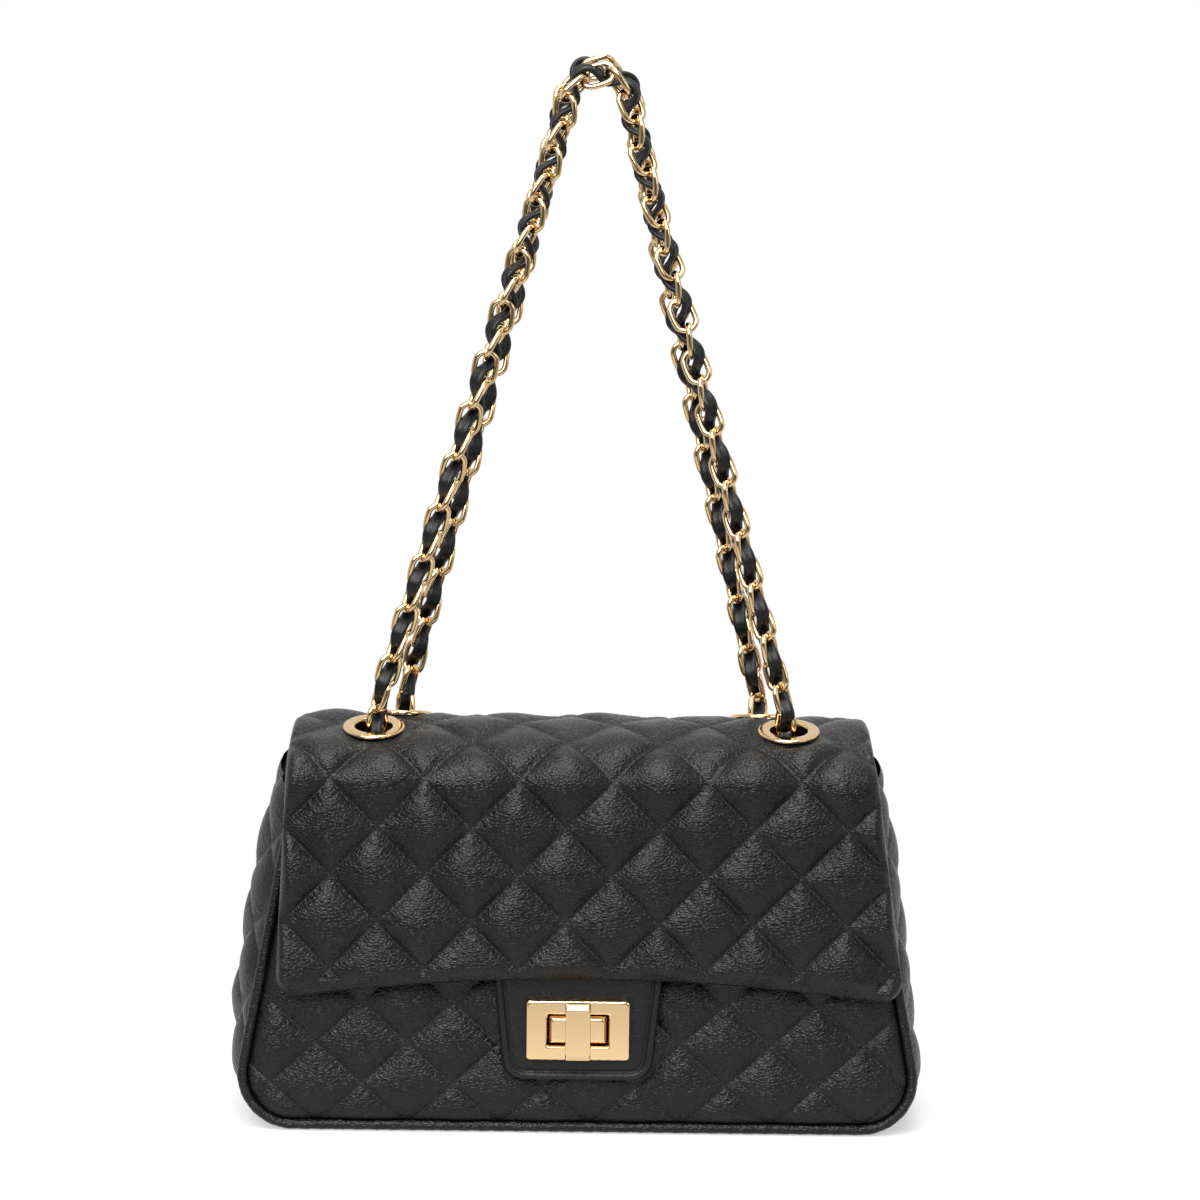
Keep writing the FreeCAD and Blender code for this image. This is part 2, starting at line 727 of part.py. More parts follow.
joint_rise = HINGE_RISE - (LINK_WIRE + LINK_PLAY) / 2
chain_seat = GROMMET_HOLE_RADIUS - LINK_WIDTH / 2 - LAYER_CLEARANCE
strand_sides = {"front": -1, "rear": 1}
strand_grommets = {
    "front": (GROMMET_FRONT_X, GROMMET_FRONT_Y),
    "rear": (GROMMET_REAR_X, GROMMET_REAR_Y),
}
strand_joints = {}
for name, side in strand_sides.items():
    x, y = strand_grommets[name]
    ends = []
    for hand in (-1, 1):
        point, outward = roof_frame(hand * (x - chain_seat), y)
        ends.append(point + outward * joint_rise)
    apex_y = STRAP_APEX_Y + side * STRAP_APEX_GAP / 2

    def strand_points(height, ends=ends, apex_y=apex_y):
        apex = Vector(STRAP_APEX_X, apex_y, ends[0].z + height)
        left = ends[0] + (apex - ends[0]) * STRAP_WAIST_SHARE + Vector(STRAP_WAIST, 0, 0)
        right = ends[1] + (apex - ends[1]) * STRAP_WAIST_SHARE - Vector(STRAP_WAIST, 0, 0)
        return [ends[0], left, apex, right, ends[1]]

    strand_length = LINK_PITCH * STRAND_LINKS
    runs = fitted(strand_points, STRAP_APEX_RADIUS, STRAP_TALLEST, STRAP_APEX_RADIUS, strand_length)
    strand_joints[name] = joints_on(runs, STRAND_LINKS)
    pivot, outward = roof_frame(x, y)
    pivot = pivot + outward * HINGE_RISE
    top = max(point.z for point in strand_joints[name])
    print(name, "strand top", round(top, 1), "pivot", [round(value, 3) for value in pivot])


def strand_links(joints, side, first, last):
    """Links numbered first to last, alternately edge on and face on, seen from the front."""
    out = []
    for number in range(first, last):
        start, end = joints[number], joints[number + 1]
        along = (end - start).normalize()
        facing_way = Vector(0, side, 0)
        width_way = facing_way if number % 2 == 0 else facing_way.cross(along)
        out.append(link_between(start, end, width_way))
    return out


def leg_lace(joints, side, swing, first, last):
    """Lace through the links of one straight leg, passing each joint on alternate sides."""
    points = []
    for number in range(first, last + 1):
        along = (joints[number + 1] - joints[number - 1]).normalize()
        out_way = Vector(0, side, 0)
        out_way = (out_way - along * out_way.dot(along)).normalize()
        side_way = out_way.cross(along) * -side
        weave = (out_way + side_way).normalize()
        points.append(joints[number] + weave * (swing if number % 2 else -swing))
    return points


def lace_ends(points, joints, first, last):
    """The weave with its two ends drawn in to the middles of the links beyond it."""
    start = (joints[first - 1] + joints[first]) / 2
    end = (joints[last] + joints[last + 1]) / 2
    return [start] + points + [end]


chains = {}
laces = {}
for name, side in strand_sides.items():
    joints = strand_joints[name]
    chains[name + "_chain_left_leg"] = strand_links(joints, side, 0, LEG_LINKS)
    chains[name + "_chain_crown"] = strand_links(joints, side, LEG_LINKS, STRAND_LINKS - LEG_LINKS)
    chains[name + "_chain_right_leg"] = strand_links(joints, side, STRAND_LINKS - LEG_LINKS, STRAND_LINKS)
    legs = [(1, LEG_LINKS), (STRAND_LINKS - LEG_LINKS, STRAND_LINKS - 1)]
    for label, (first, last) in zip(("left", "right"), legs):
        points = leg_lace(joints, side, LACE_SWING, first, last)
        laces[name + "_lace_" + label] = tube(lace_ends(points, joints, first, last), LACE_RADIUS)

# Inner runs: under the roof the chain turns back from the front grommet to the rear one

for label, hand in (("left", -1), ("right", 1)):
    front_point, front_out = roof_frame(hand * (GROMMET_FRONT_X - chain_seat), GROMMET_FRONT_Y)
    rear_point, rear_out = roof_frame(hand * (GROMMET_REAR_X - chain_seat), GROMMET_REAR_Y)

    def inner_points(depth, ends=((front_point, front_out), (rear_point, rear_out))):
        (front, front_way), (rear, rear_way) = ends
        return [
            front + front_way * joint_rise,
            front - front_way * depth,
            rear - rear_way * depth,
            rear + rear_way * joint_rise,
        ]

    runs = fitted(inner_points, INNER_RADIUS, INNER_DEEPEST, INNER_RADIUS, LINK_PITCH * INNER_LINKS)
    joints = joints_on(runs, INNER_LINKS)
    links = []
    for number in range(INNER_LINKS):
        along = (joints[number + 1] - joints[number]).normalize()
        width_way = Vector(1, 0, 0) if number % 2 == 0 else Vector(1, 0, 0).cross(along)
        links.append(link_between(joints[number], joints[number + 1], width_way))
    chains[label + "_inner_chain"] = links

# Saved pieces

save("front_panel", [front_panel])
save("back_panel", [back_panel])
save("front_board", [front_board])
save("back_board", [back_board])
save("front_piping", [piping(-1, mouth_height)])
save("back_piping", [piping(1, BODY_HEIGHT - piping_radius)])
save("left_gusset", [left_gusset])
save("right_gusset", [right_gusset])
save("base_panel", [base_panel])
save("base_board", [base_board])
save("lining", [lining])
save("mouth_facing", [mouth_facing])
save("flap_cover", [flap_cover])
save("flap_lining", [flap_lining])
for place, (x, y) in grommet_places.items():
    point, outward = roof_frame(x, y)
    save(place + "_grommet", [placed(grommet, point, outward)])
    save(place + "_grommet_washer", [placed(grommet_washer, point, outward)])
for name, shape in {
    "tongue": tongue,
    "tongue_lining": tongue_lining,
    "lock_plate": lock_plate,
    "lock_plate_washer": plate_washer,
    "lock_boss": lock_boss,
    "lock_washer": lock_washer,
    "turn_spring": turn_spring,
    "turn_bar": turn_bar,
}.items():
    save(name, [on_face(shape)])
for name, links in chains.items():
    save(name, links)
for name, shape in laces.items():
    save(name, [shape])
print("flap hinge", [round(value, 3) for value in hinge], "lean", round(math.degrees(lean), 3))
print("lock point", [round(value, 3) for value in lock_point])
print("front way", [round(value, 5) for value in front_way])
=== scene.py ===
import json
import math

import bpy
import mathutils
import numpy as np
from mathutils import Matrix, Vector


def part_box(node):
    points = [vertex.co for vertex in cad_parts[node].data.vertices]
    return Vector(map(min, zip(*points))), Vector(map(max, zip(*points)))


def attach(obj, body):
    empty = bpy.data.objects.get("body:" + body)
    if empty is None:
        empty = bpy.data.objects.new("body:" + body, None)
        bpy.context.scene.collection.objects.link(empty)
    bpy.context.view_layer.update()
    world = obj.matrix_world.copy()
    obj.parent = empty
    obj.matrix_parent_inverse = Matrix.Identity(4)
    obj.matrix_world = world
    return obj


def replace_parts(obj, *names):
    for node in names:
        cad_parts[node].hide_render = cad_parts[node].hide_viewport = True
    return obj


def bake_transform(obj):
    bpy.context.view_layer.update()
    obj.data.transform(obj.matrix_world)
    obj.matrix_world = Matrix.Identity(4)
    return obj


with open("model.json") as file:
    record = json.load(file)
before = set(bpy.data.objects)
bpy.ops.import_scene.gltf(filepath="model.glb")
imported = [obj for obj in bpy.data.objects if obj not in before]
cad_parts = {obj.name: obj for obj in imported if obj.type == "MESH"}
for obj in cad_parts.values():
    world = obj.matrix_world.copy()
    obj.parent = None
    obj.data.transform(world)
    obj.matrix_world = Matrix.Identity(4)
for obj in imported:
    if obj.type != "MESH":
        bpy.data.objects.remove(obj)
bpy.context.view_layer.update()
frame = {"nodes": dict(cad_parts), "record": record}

# Front and back panels: quilted black leather over padding, sewn into the piping round their edges.
# Each is a grid over the panel's outline, pressed down along the diamond stitch lines.

BODY_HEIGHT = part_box("back_panel")[1][2]
MOUTH_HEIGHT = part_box("front_panel")[1][2]
SEAM_FLOOR, SEAM_TOP = 0.13525, 0.108
SEAM_DEPTH_FLOOR, SEAM_DEPTH_TOP = 0.032, 0.029
CORNER = 0.02
PANEL_INSET, PANEL_FOOT, PANEL_SINK, PANEL_EDGE = 0.0019, 0.0043, 0.0008, 0.011
PANEL_DIAMOND = (0.0177, 0.0163)
PANEL_CROWN, PANEL_PUFF, PANEL_GATHER, PANEL_UNEVEN = 0.0036, 0.0028, 0.00016, 0.0005
LONG_RIPPLE, SHORT_RIPPLE = 0.00072, 0.00047
GATHER_START, GATHER_REACH = 0.0012, 0.0026
STITCH_PITCH, STITCH_LENGTH, STITCH_RADIUS = 0.0031, 0.0023, 0.00026
STITCH_PLACES, STITCH_SIDES = 7, 5


def group(name, colour, roughness):
    """A new material with its shader's colour and roughness set."""
    made = bpy.data.materials.new(name)
    made.use_nodes = True
    shader = made.node_tree.nodes["Principled BSDF"]
    shader.inputs["Base Color"].default_value = (*colour, 1)
    shader.inputs["Roughness"].default_value = roughness
    return made, made.node_tree, shader


def node(tree, kind, inputs=(), **settings):
    """A new shader node; each of its inputs gets a value, or a link from another node's output."""
    made = tree.nodes.new("ShaderNode" + kind)
    for setting, value in settings.items():
        setattr(made, setting, value)
    for socket, value in dict(inputs).items():
        if isinstance(value, bpy.types.NodeSocket):
            tree.links.new(value, made.inputs[socket])
        else:
            made.inputs[socket].default_value = value
    return made


def leather(name, colour, roughness, cell, depth):
    """Leather: small rounded cells, cell metres across and drawn out sideways, pressed in by depth metres.
    Broad soft creases lie under the cells, and the gaps between the cells are duller."""
    made, tree, shader = group(name, colour, roughness)
    place = node(tree, "TexCoord").outputs["Object"]
    drawn = node(tree, "VectorMath", {0: place, 1: (0.6, 1, 1)}, operation="MULTIPLY").outputs[0]
    warp = node(tree, "TexNoise", {"Vector": drawn, "Scale": 0.35 / cell, "Detail": 4}).outputs["Color"]
    moved = node(tree, "VectorMath", {0: warp, 1: (cell, cell, cell), 2: drawn}, operation="MULTIPLY_ADD")
    sized = {"Vector": moved.outputs[0], "Scale": 1 / cell}
    edge = node(tree, "TexVoronoi", sized, feature="DISTANCE_TO_EDGE").outputs["Distance"]
    domed = {"Value": edge, "From Max": 0.32}
    cells = node(tree, "MapRange", domed, interpolation_type="SMOOTHSTEP").outputs["Result"]
    creases = node(tree, "TexNoise", {"Vector": drawn, "Scale": 0.16 / cell, "Detail": 3}).outputs["Fac"]
    broad = node(tree, "Bump", {"Height": creases, "Distance": 2.8 * depth}).outputs["Normal"]
    fine = node(tree, "Bump", {"Height": cells, "Normal": broad, "Distance": depth, "Strength": 0.7})
    tree.links.new(fine.outputs["Normal"], shader.inputs["Normal"])
    patches = node(tree, "TexNoise", {"Vector": place, "Scale": 60}).outputs["Fac"]
    spread = {"Value": patches, "To Min": roughness + 0.06, "To Max": roughness + 0.18}
    gap = node(tree, "MapRange", spread).outputs["Result"]
    dull = node(tree, "Math", {0: cells, 1: -0.12, 2: gap}, operation="MULTIPLY_ADD")
    tree.links.new(dull.outputs[0], shader.inputs["Roughness"])
    shader.inputs["Specular IOR Level"].default_value = 0.26
    return made


def unit(ways):
    """The same directions with a length of 1."""
    return ways / np.linalg.norm(ways, axis=-1, keepdims=True)


def lengths(points):
    """Distance of each point from the first one, along the line through them all."""
    return np.concatenate([[0], np.cumsum(np.linalg.norm(np.diff(points, axis=0), axis=1))])


def full_turn(count):
    """Evenly spaced angles once round."""
    return np.linspace(0, 2 * math.pi, count, endpoint=False)


def grid_faces(rows, columns, wrap_rows, wrap_columns):
    """Four-cornered faces of a grid; to wrap is to join the last row or column to the first."""
    down = np.arange(rows if wrap_rows else rows - 1)
    over = np.arange(columns if wrap_columns else columns - 1)
    row, column = np.meshgrid(down * columns, over, indexing="ij")
    below, beside = (row + columns) % (rows * columns), (column + 1) % columns
    return np.stack([row + column, row + beside, below + beside, below + column], -1).reshape(-1, 4)


def mesh_of(name, points, faces, material):
    """Smooth object from points and four-cornered faces."""
    mesh = bpy.data.meshes.new(name)
    mesh.vertices.add(len(points))
    mesh.vertices.foreach_set("co", np.ascontiguousarray(points, np.float32).ravel())
    mesh.loops.add(faces.size)
    mesh.loops.foreach_set("vertex_index", np.ascontiguousarray(faces, np.int32).ravel())
    mesh.polygons.add(len(faces))
    mesh.polygons.foreach_set("loop_start", np.arange(0, faces.size, 4, dtype=np.int32))
    mesh.polygons.foreach_set("use_smooth", np.ones(len(faces), bool))
    mesh.update(calc_edges=True)
    mesh.validate()
    mesh.materials.append(material)
    made = bpy.data.objects.new(name.replace(" ", "_") + "_skin", mesh)
    bpy.context.collection.objects.link(made)
    return made


def surface(name, points, material, closed=False, drop=None):
    """Mesh over a grid of points; closed joins the last column to the first, and drop leaves out faces."""
    faces = grid_faces(*points.shape[:2], False, closed)
    points = points.reshape(-1, 3)
    if drop is not None:
        faces = faces[~drop(points[faces].mean(axis=1))]
    return mesh_of(name, points, faces, material)


def repeated(name, points, wrap_rows, material):
    """One mesh of many tubes."""
    count, rows, columns = points.shape[:3]
    first = (np.arange(count) * rows * columns)[:, None, None]
    faces = grid_faces(rows, columns, wrap_rows, True) + first
    return mesh_of(name, points.reshape(-1, 3), faces.reshape(-1, 4), material)


def quilted(across, along, start, half):
    """Puff from 0 on the stitch lines to 1 in a diamond's middle, and the gathers beside the lines.
    half is half of a diamond's two diagonals, and start is one crossing of the lines. A puff is the
    harmonic mean of two cosine arches, one for each set of diagonal lines; gathers are ripples along
    a line that fade away from it."""
    right, up = (across - start[0]) / half[0], (along - start[1]) / half[1]
    first, second = (right + up) / 2, (right - up) / 2
    span = math.hypot(*half)
    arches, gathers = [], 0.0
    for line, run in ((first, second), (second, first)):
        near = np.abs(2 * (line - np.floor(line)) - 1)
        arches.append(np.cos(near * math.pi / 2) + 0.002)
        number = np.round(line)
        reach = (1 - near) / 2 * span
        ripple = np.sin(run * span / LONG_RIPPLE + 7.3 * number)
        ripple = ripple + np.sin(run * span / SHORT_RIPPLE + 3.1 * number * number)
        gathers = gathers + ripple * np.exp(-reach / GATHER_REACH) * (1 - np.exp(-reach / GATHER_START))
    return 2 * arches[0] * arches[1] / (arches[0] + arches[1]), gathers


def soft(across, along, turn):
    """Slow unevenness of hand-sewn leather, -1 to 1: three crossed waves with lengths of 30 to 90 mm."""
    return (
        np.sin(across / 0.0081 + along / 0.0123 + turn)
        + np.sin(across / 0.0137 - along / 0.0064 + 2 * turn)
        + np.sin(across / 0.0052 + along / 0.0093 + 3 * turn)
    ) / 3


def eased(distance, width):
    """Quarter round from 0 at the edge to 1 at width from it."""
    return np.sqrt(1 - (1 - np.clip(distance / width, 0, 1)) ** 2)


def seam_half(height):
    """Half the width over the seams at a height."""
    return SEAM_FLOOR + (SEAM_TOP - SEAM_FLOOR) * height / BODY_HEIGHT


def seam_depth(height):
    """Distance of the front and the back seams from the middle at a height."""
    return SEAM_DEPTH_FLOOR + (SEAM_DEPTH_TOP - SEAM_DEPTH_FLOOR) * height / BODY_HEIGHT


def fillet(corner, back, ahead, radius):
    """Centre of the arc that rounds a corner, and where the arc meets the ways back and ahead."""
    half_angle = math.acos(back @ ahead) / 2
    centre = corner + unit(back + ahead) * radius / math.sin(half_angle)
    tangent = radius / math.tan(half_angle)
    return centre, corner + back * tangent, corner + ahead * tangent


def corner_circle(inset, bottom):
    """Centre and radius of the round corner at the foot, and the height where the straight side starts."""
    corner = np.array([seam_half(bottom) - inset, bottom])
    side_way = unit(np.array([seam_half(BODY_HEIGHT) - inset, BODY_HEIGHT]) - corner)
    radius = CORNER - inset
    centre, side_start = fillet(corner, side_way, np.array([-1.0, 0.0]), radius)[:2]
    return centre, radius, side_start[1]


def half_width(height):
    """Half the panel's width at a height: the round corner below, and the straight side above it."""
    centre, radius, side = corner_circle(PANEL_INSET, PANEL_FOOT)
    bend = centre[0] + np.sqrt(np.maximum(radius**2 - (height - centre[1]) ** 2, 0))
    return np.where(height < side, bend, seam_half(height) - PANEL_INSET)


black = leather("black leather", (0.003, 0.003, 0.0034), 0.26, 0.0012, 0.0002)
thread = group("black thread", (0.008, 0.008, 0.008), 0.6)[0]
stitch = np.linspace(-0.5, 0.5, STITCH_PLACES) * STITCH_LENGTH


def quilt_rows(start, half, reach, keep):
    """Places along every stitch on the diagonal lines, for the stitches that keep allows."""
    count = int(reach / min(half))
    number = np.arange(-count, count + 1)[:, None, None]
    middle = (np.arange(-reach, reach, STITCH_PITCH) + STITCH_PITCH / 2)[None, :, None]
    run = (middle + stitch) / math.hypot(*half)
    across, along = [], []
    for way in (1, -1):
        across.append((start[0] + (number + run) * half[0]).reshape(-1, STITCH_PLACES))
        along.append((start[1] + way * (number - run) * half[1]).reshape(-1, STITCH_PLACES))
    across, along = np.concatenate(across), np.concatenate(along)
    sewn = keep(across, along).all(axis=1)
    return across[sewn], along[sewn]


def stitches(name, across, along, place):
    """Threads on a surface: each is a spindle with its ends drawn in, laid along its places.
    place gives the points of the surface from places across and along it, lifted by its last argument."""
    line = place(across, along, 0.0)
    lift = unit(place(across, along, 0.001) - line)
    beside = unit(np.cross(np.gradient(line, axis=1), lift))
    turn = full_turn(STITCH_SIDES)[:, None]
    share = np.linspace(-1, 1, STITCH_PLACES)[None, :, None, None]
    ring = lift[:, :, None] * np.sin(turn) + beside[:, :, None] * np.cos(turn)
    points = line[:, :, None] + ring * STITCH_RADIUS * np.sqrt(1.05 - share**2)
    points = points + lift[:, :, None] * (0.00008 - 0.0003 * share**4)
    made = repeated(name, points, False, thread)
    return made


def panel(name, side, top, start, covered):
    """Rows from side to side over the panel's outline. Above covered the panel is pressed flat."""
    height = PANEL_FOOT + (top - PANEL_FOOT) * np.linspace(0, 1, 220)[:, None] ** 1.25
    share = np.linspace(-1, 1, 400)[None, :]
    share = np.sign(share) * (1 - (1 - np.abs(share)) ** 1.25)
    across = share * half_width(height)
    height = height + 0 * across
    centre, radius = corner_circle(PANEL_INSET, PANEL_FOOT)[:2]

    def place(across, height, lift):
        """The panel's face: out from the seam by the crown, puff and gathers, all drawn in at the edge."""
        in_corner = (np.abs(across) > centre[0]) & (height < centre[1])
        corner_gap = radius - np.hypot(np.abs(across) - centre[0], height - centre[1])
        straight_gap = np.minimum(half_width(height) - np.abs(across), height - PANEL_FOOT)
        gap = np.minimum(np.where(in_corner, corner_gap, straight_gap), 1.6 * (top - height))
        gap = np.minimum(gap, np.maximum(covered - height, 0.0012))
        puff, gathers = quilted(across, height, start, PANEL_DIAMOND)
        rise = PANEL_CROWN + PANEL_PUFF * puff + PANEL_GATHER * gathers
        rise = rise + PANEL_UNEVEN * soft(across, height, side)
        out = -PANEL_SINK + eased(gap, PANEL_EDGE) * rise + lift
        return np.stack([across, side * (seam_depth(height) + out), height], -1)

    def sewn(across, height):
        """True for what lies away from the piping and the mouth, and isn't covered."""
        inside = np.abs(across) < half_width(np.clip(height, PANEL_FOOT, top)) - 0.006
        return inside & (height > PANEL_FOOT + 0.006) & (height < min(covered, top) - 0.004)

    columns = slice(None) if side < 0 else slice(None, None, -1)
    made = surface(name, place(across, height, 0.0)[:, columns], black)
    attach(made, "body")
    rows = quilt_rows(start, PANEL_DIAMOND, 0.2, sewn)
    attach(stitches(name + " stitching", *rows, place), "body")
    return made


front_skin = panel("front panel", -1, MOUTH_HEIGHT, (-0.084, 0.052), 1.0)
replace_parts(front_skin, "front_panel", "front_board")
back_skin = panel("back panel", 1, BODY_HEIGHT - 0.0005, (0.0, 0.052), 0.13)
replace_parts(back_skin, "back_panel", "back_board")

# Gussets and base: a quilted strip at each side, which swells out between the seams, and a plain base.
# The strips are sewn to both panels and follow the seams from the top, round the lower corner to the base.

GUSSET_TOP = BODY_HEIGHT - 0.003
GUSSET_DIAMOND, GUSSET_PUFF, GUSSET_GATHER, GUSSET_UNEVEN = (0.0165, 0.0165), 0.0028, 0.00014, 0.0006
BASE_HALF_WIDTH, BASE_HALF_DEPTH = 0.1155, 0.0301
SWELL_HEIGHTS = (0, 0.02, 0.045, 0.07, 0.1, 0.126, 0.1425)
SWELLS = {
    -1: (0.0003, 0.003, 0.0075, 0.0095, 0.0095, 0.0085, 0.007),
    1: (0.0003, 0.002, 0.0035, 0.0055, 0.0075, 0.0075, 0.0065),
}


def outline_run(bottom, top, count):
    """Even points down one side of the seam and round its corner: distances, places and ways out."""
    centre, radius, side = corner_circle(0.0, bottom)
    straight = np.stack([[seam_half(top), top], [seam_half(side), side]])
    lean = math.atan2(SEAM_FLOOR - SEAM_TOP, BODY_HEIGHT)
    turn = np.linspace(lean, -math.pi / 2, 60)[:, None]
    bend = centre + radius * np.concatenate([np.cos(turn), np.sin(turn)], axis=1)
    points = np.concatenate([straight, bend[1:]])
    length = lengths(points)
    run = np.linspace(0, length[-1], count)
    even = np.stack([np.interp(run, length, points[:, k]) for k in (0, 1)], -1)
    along = unit(np.gradient(even, axis=0))
    return run, even, np.stack([-along[:, 1], along[:, 0]], -1)


def mouth_rim(share):
    """Height of the mouth's edge from front, where share is -1, to back, where it is 1."""
    ramp = np.clip((share + 0.95) / 1.5, 0, 1)
    return MOUTH_HEIGHT + (GUSSET_TOP - MOUTH_HEIGHT) * ramp * ramp * (3 - 2 * ramp)


def gusset_swell(height, hand):
    """How far the strip's middle stands out beyond the seams."""
    return np.interp(height, SWELL_HEIGHTS, SWELLS[hand])


def gusset(name, hand):
    """Across the strip the swell is an arc; each line down the strip starts at the mouth's edge."""
    run, line, out_way = outline_run(0.0012, GUSSET_TOP, 230)
    share = np.linspace(-1, 1, 110)[None, :]
    drop = GUSSET_TOP - mouth_rim(share)
    down = drop + (run[-1] - drop) * (run / run[-1])[:, None]
    across, height, out_x, out_z = (np.interp(down, run, v) for v in (*line.T, *out_way.T))
    depth = share * (seam_depth(height) - 0.0017)
    puff, gathers = quilted(depth, down, (0, 0.017), GUSSET_DIAMOND)
    edge = eased((1 - np.abs(share)) * seam_depth(height), 0.008) * eased(down - drop + 0.002, 0.01)
    foot = np.clip((run[-1] - down) / 0.03, 0, 1)
    relief = GUSSET_PUFF * puff + GUSSET_GATHER * gathers + GUSSET_UNEVEN * soft(depth, down, hand)
    out = gusset_swell(height, hand) * (1 - share**2) + edge * foot * relief
    points = np.stack([hand * (across + out_x * out), depth, np.maximum(height + out_z * out, 0.0004)], -1)
    made = surface(name, points if hand > 0 else points[:, ::-1], black)
    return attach(made, "body")


for name, hand in (("left", -1), ("right", 1)):
    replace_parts(gusset(name + " gusset", hand), name + "_gusset")

plain = leather("plain leather", (0.004, 0.004, 0.0044), 0.32, 0.0011, 0.00011)
base_x, base_y = BASE_HALF_WIDTH * np.linspace(-1, 1, 120), BASE_HALF_DEPTH * np.linspace(-1, 1, 50)
base_x, base_y = np.meshgrid(base_x, base_y, indexing="ij")
base_gap = BASE_HALF_DEPTH - np.abs(base_y)
base_z = 0.0012 - 0.0011 * eased(base_gap, 0.004) + 0.00012 * (1 + soft(base_x, base_y, 4))
base_skin = surface("base", np.stack([base_x, base_y, base_z], -1), plain)
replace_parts(base_skin, "base_panel", "base_board")
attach(base_skin, "body")

# Piping: a thin cord covered with leather, round the front panel and round the back panel.
# It is sewn into the seam between the panel, the gussets and the base.

PIPING_RADIUS, PIPING_SIDES = 0.00205, 14


def piping(name, side, top, replaced):
    """A tube along the seam and its mirror image, with small ripples where the leather is gathered."""
    line, out_way = outline_run(0.0024, top, 260)[1:]
    line = np.concatenate([line, line[::-1] * (-1, 1)])
    out_way = np.concatenate([out_way, out_way[::-1] * (-1, 1)])
    run = lengths(line)
    even = np.linspace(0, run[-1], 620)
    across, height, out_x, out_z = (np.interp(even, run, v) for v in (*line.T, *out_way.T))
    path = np.stack([across, side * (seam_depth(height) + 0.0002), height], -1)
    outward = unit(np.stack([out_x, 0 * out_x, out_z], -1))
    turn = full_turn(PIPING_SIDES)[:, None]
    ring = outward[:, None] * np.cos(turn) + np.array([0, side, 0]) * np.sin(turn)
    radius = PIPING_RADIUS + 0.00007 * np.sin(even / 0.0011) + 0.00005 * np.sin(even / 0.00043)
    made = surface(name, path[:, None] + ring * radius[:, None, None], black, closed=True)
    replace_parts(made, replaced)
    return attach(made, "body")


piping("front piping", -1, MOUTH_HEIGHT, "front_piping")
piping("back piping", 1, BODY_HEIGHT - 0.002, "back_piping")

# Lining and facing: a cloth pocket inside the bag, with a smooth leather band sewn round its mouth.
# Both are rings, one above another, that follow the inside of the walls.

LINING_FLOOR, LINING_INSET = 0.0066, 0.0042
RING_PLACES, RING_POWER = 240, 7

cloth, cloth_tree, cloth_shader = group("lining cloth", (0.02, 0.018, 0.019), 0.75)
weave_place = node(cloth_tree, "TexCoord").outputs["Object"]
weave = node(cloth_tree, "TexWave", {"Vector": weave_place, "Scale": 700}).outputs["Fac"]
weave_bump = node(cloth_tree, "Bump", {"Height": weave, "Distance": 0.0001})
cloth_tree.links.new(weave_bump.outputs["Normal"], cloth_shader.inputs["Normal"])

ring_wide, ring_deep = np.cos(full_turn(RING_PLACES)), np.sin(full_turn(RING_PLACES))
ring_scale = (np.abs(ring_wide) ** RING_POWER + np.abs(ring_deep) ** RING_POWER) ** (-1 / RING_POWER)
ring_wide, ring_deep = ring_wide * ring_scale, ring_deep * ring_scale


def wall_ring(height, inset):
    """A rounded rectangle at each height, inset from the seams and swelling with the gussets at its ends.
    Its places from -1 to 1 across and in depth come from a circle, whose corners a high power squares."""
    swell = np.where(ring_wide < 0, gusset_swell(height, -1), gusset_swell(height, 1))
    ends = np.sign(ring_wide) * np.abs(ring_wide) ** 8 * (1 - (0.97 * ring_deep) ** 2)
    across = ring_wide * (seam_half(height) - inset - 0.001) + ends * swell
    return across, ring_deep * (seam_depth(height) - inset - 0.0026)


share = np.linspace(0, 1, 60)[:, None]
rim = mouth_rim(ring_deep) + 0.0025 * np.clip(10 * ring_deep - 9, 0, 1)
lining_height = LINING_FLOOR + (rim - LINING_FLOOR) * share
lining_x, lining_y = wall_ring(lining_height, LINING_INSET)
sag = 0.0006 * soft(lining_x * 2, lining_height + lining_y * 2, 1) * (1 - share)
floor_pull = eased(lining_height - 0.0064, 0.012)
lining_x = lining_x * (0.93 + 0.07 * floor_pull)
lining_y = (lining_y + sag) * (0.8 + 0.2 * floor_pull)
lining_points = np.stack([lining_x, lining_y, lining_height], -1)
floor_rings = np.stack([lining_points[0] * (k, k, 1) for k in np.linspace(0.02, 1, 14)[:-1]])
lining_points = np.concatenate([floor_rings, lining_points])
lining_skin = surface("lining", lining_points[:, ::-1], cloth, closed=True)
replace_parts(lining_skin, "lining")
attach(lining_skin, "body")

# The band's section: heights above the rim, and insets from the seams.
band = np.array([
    (-0.016, 0.0049), (-0.0155, 0.0056), (-0.012, 0.0057), (-0.006, 0.0056), (-0.001, 0.0056),
    (0.0008, 0.0048), (0.0014, 0.003), (0.0012, 0.001), (0.0002, -0.001), (-0.0015, -0.0018),
])
facing_height = rim + band[:, :1] - 0.0006
facing_rings = np.stack([*wall_ring(facing_height, band[:, 1:]), facing_height], -1)
facing_skin = surface("mouth facing", facing_rings[:, ::-1], plain, closed=True)
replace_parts(facing_skin, "mouth_facing")
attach(facing_skin, "body")

# Flap: quilted leather that is sewn to the back, passes over the roof and hangs over the front.
# It bends along the back edge, and its underside is a smooth leather lining.

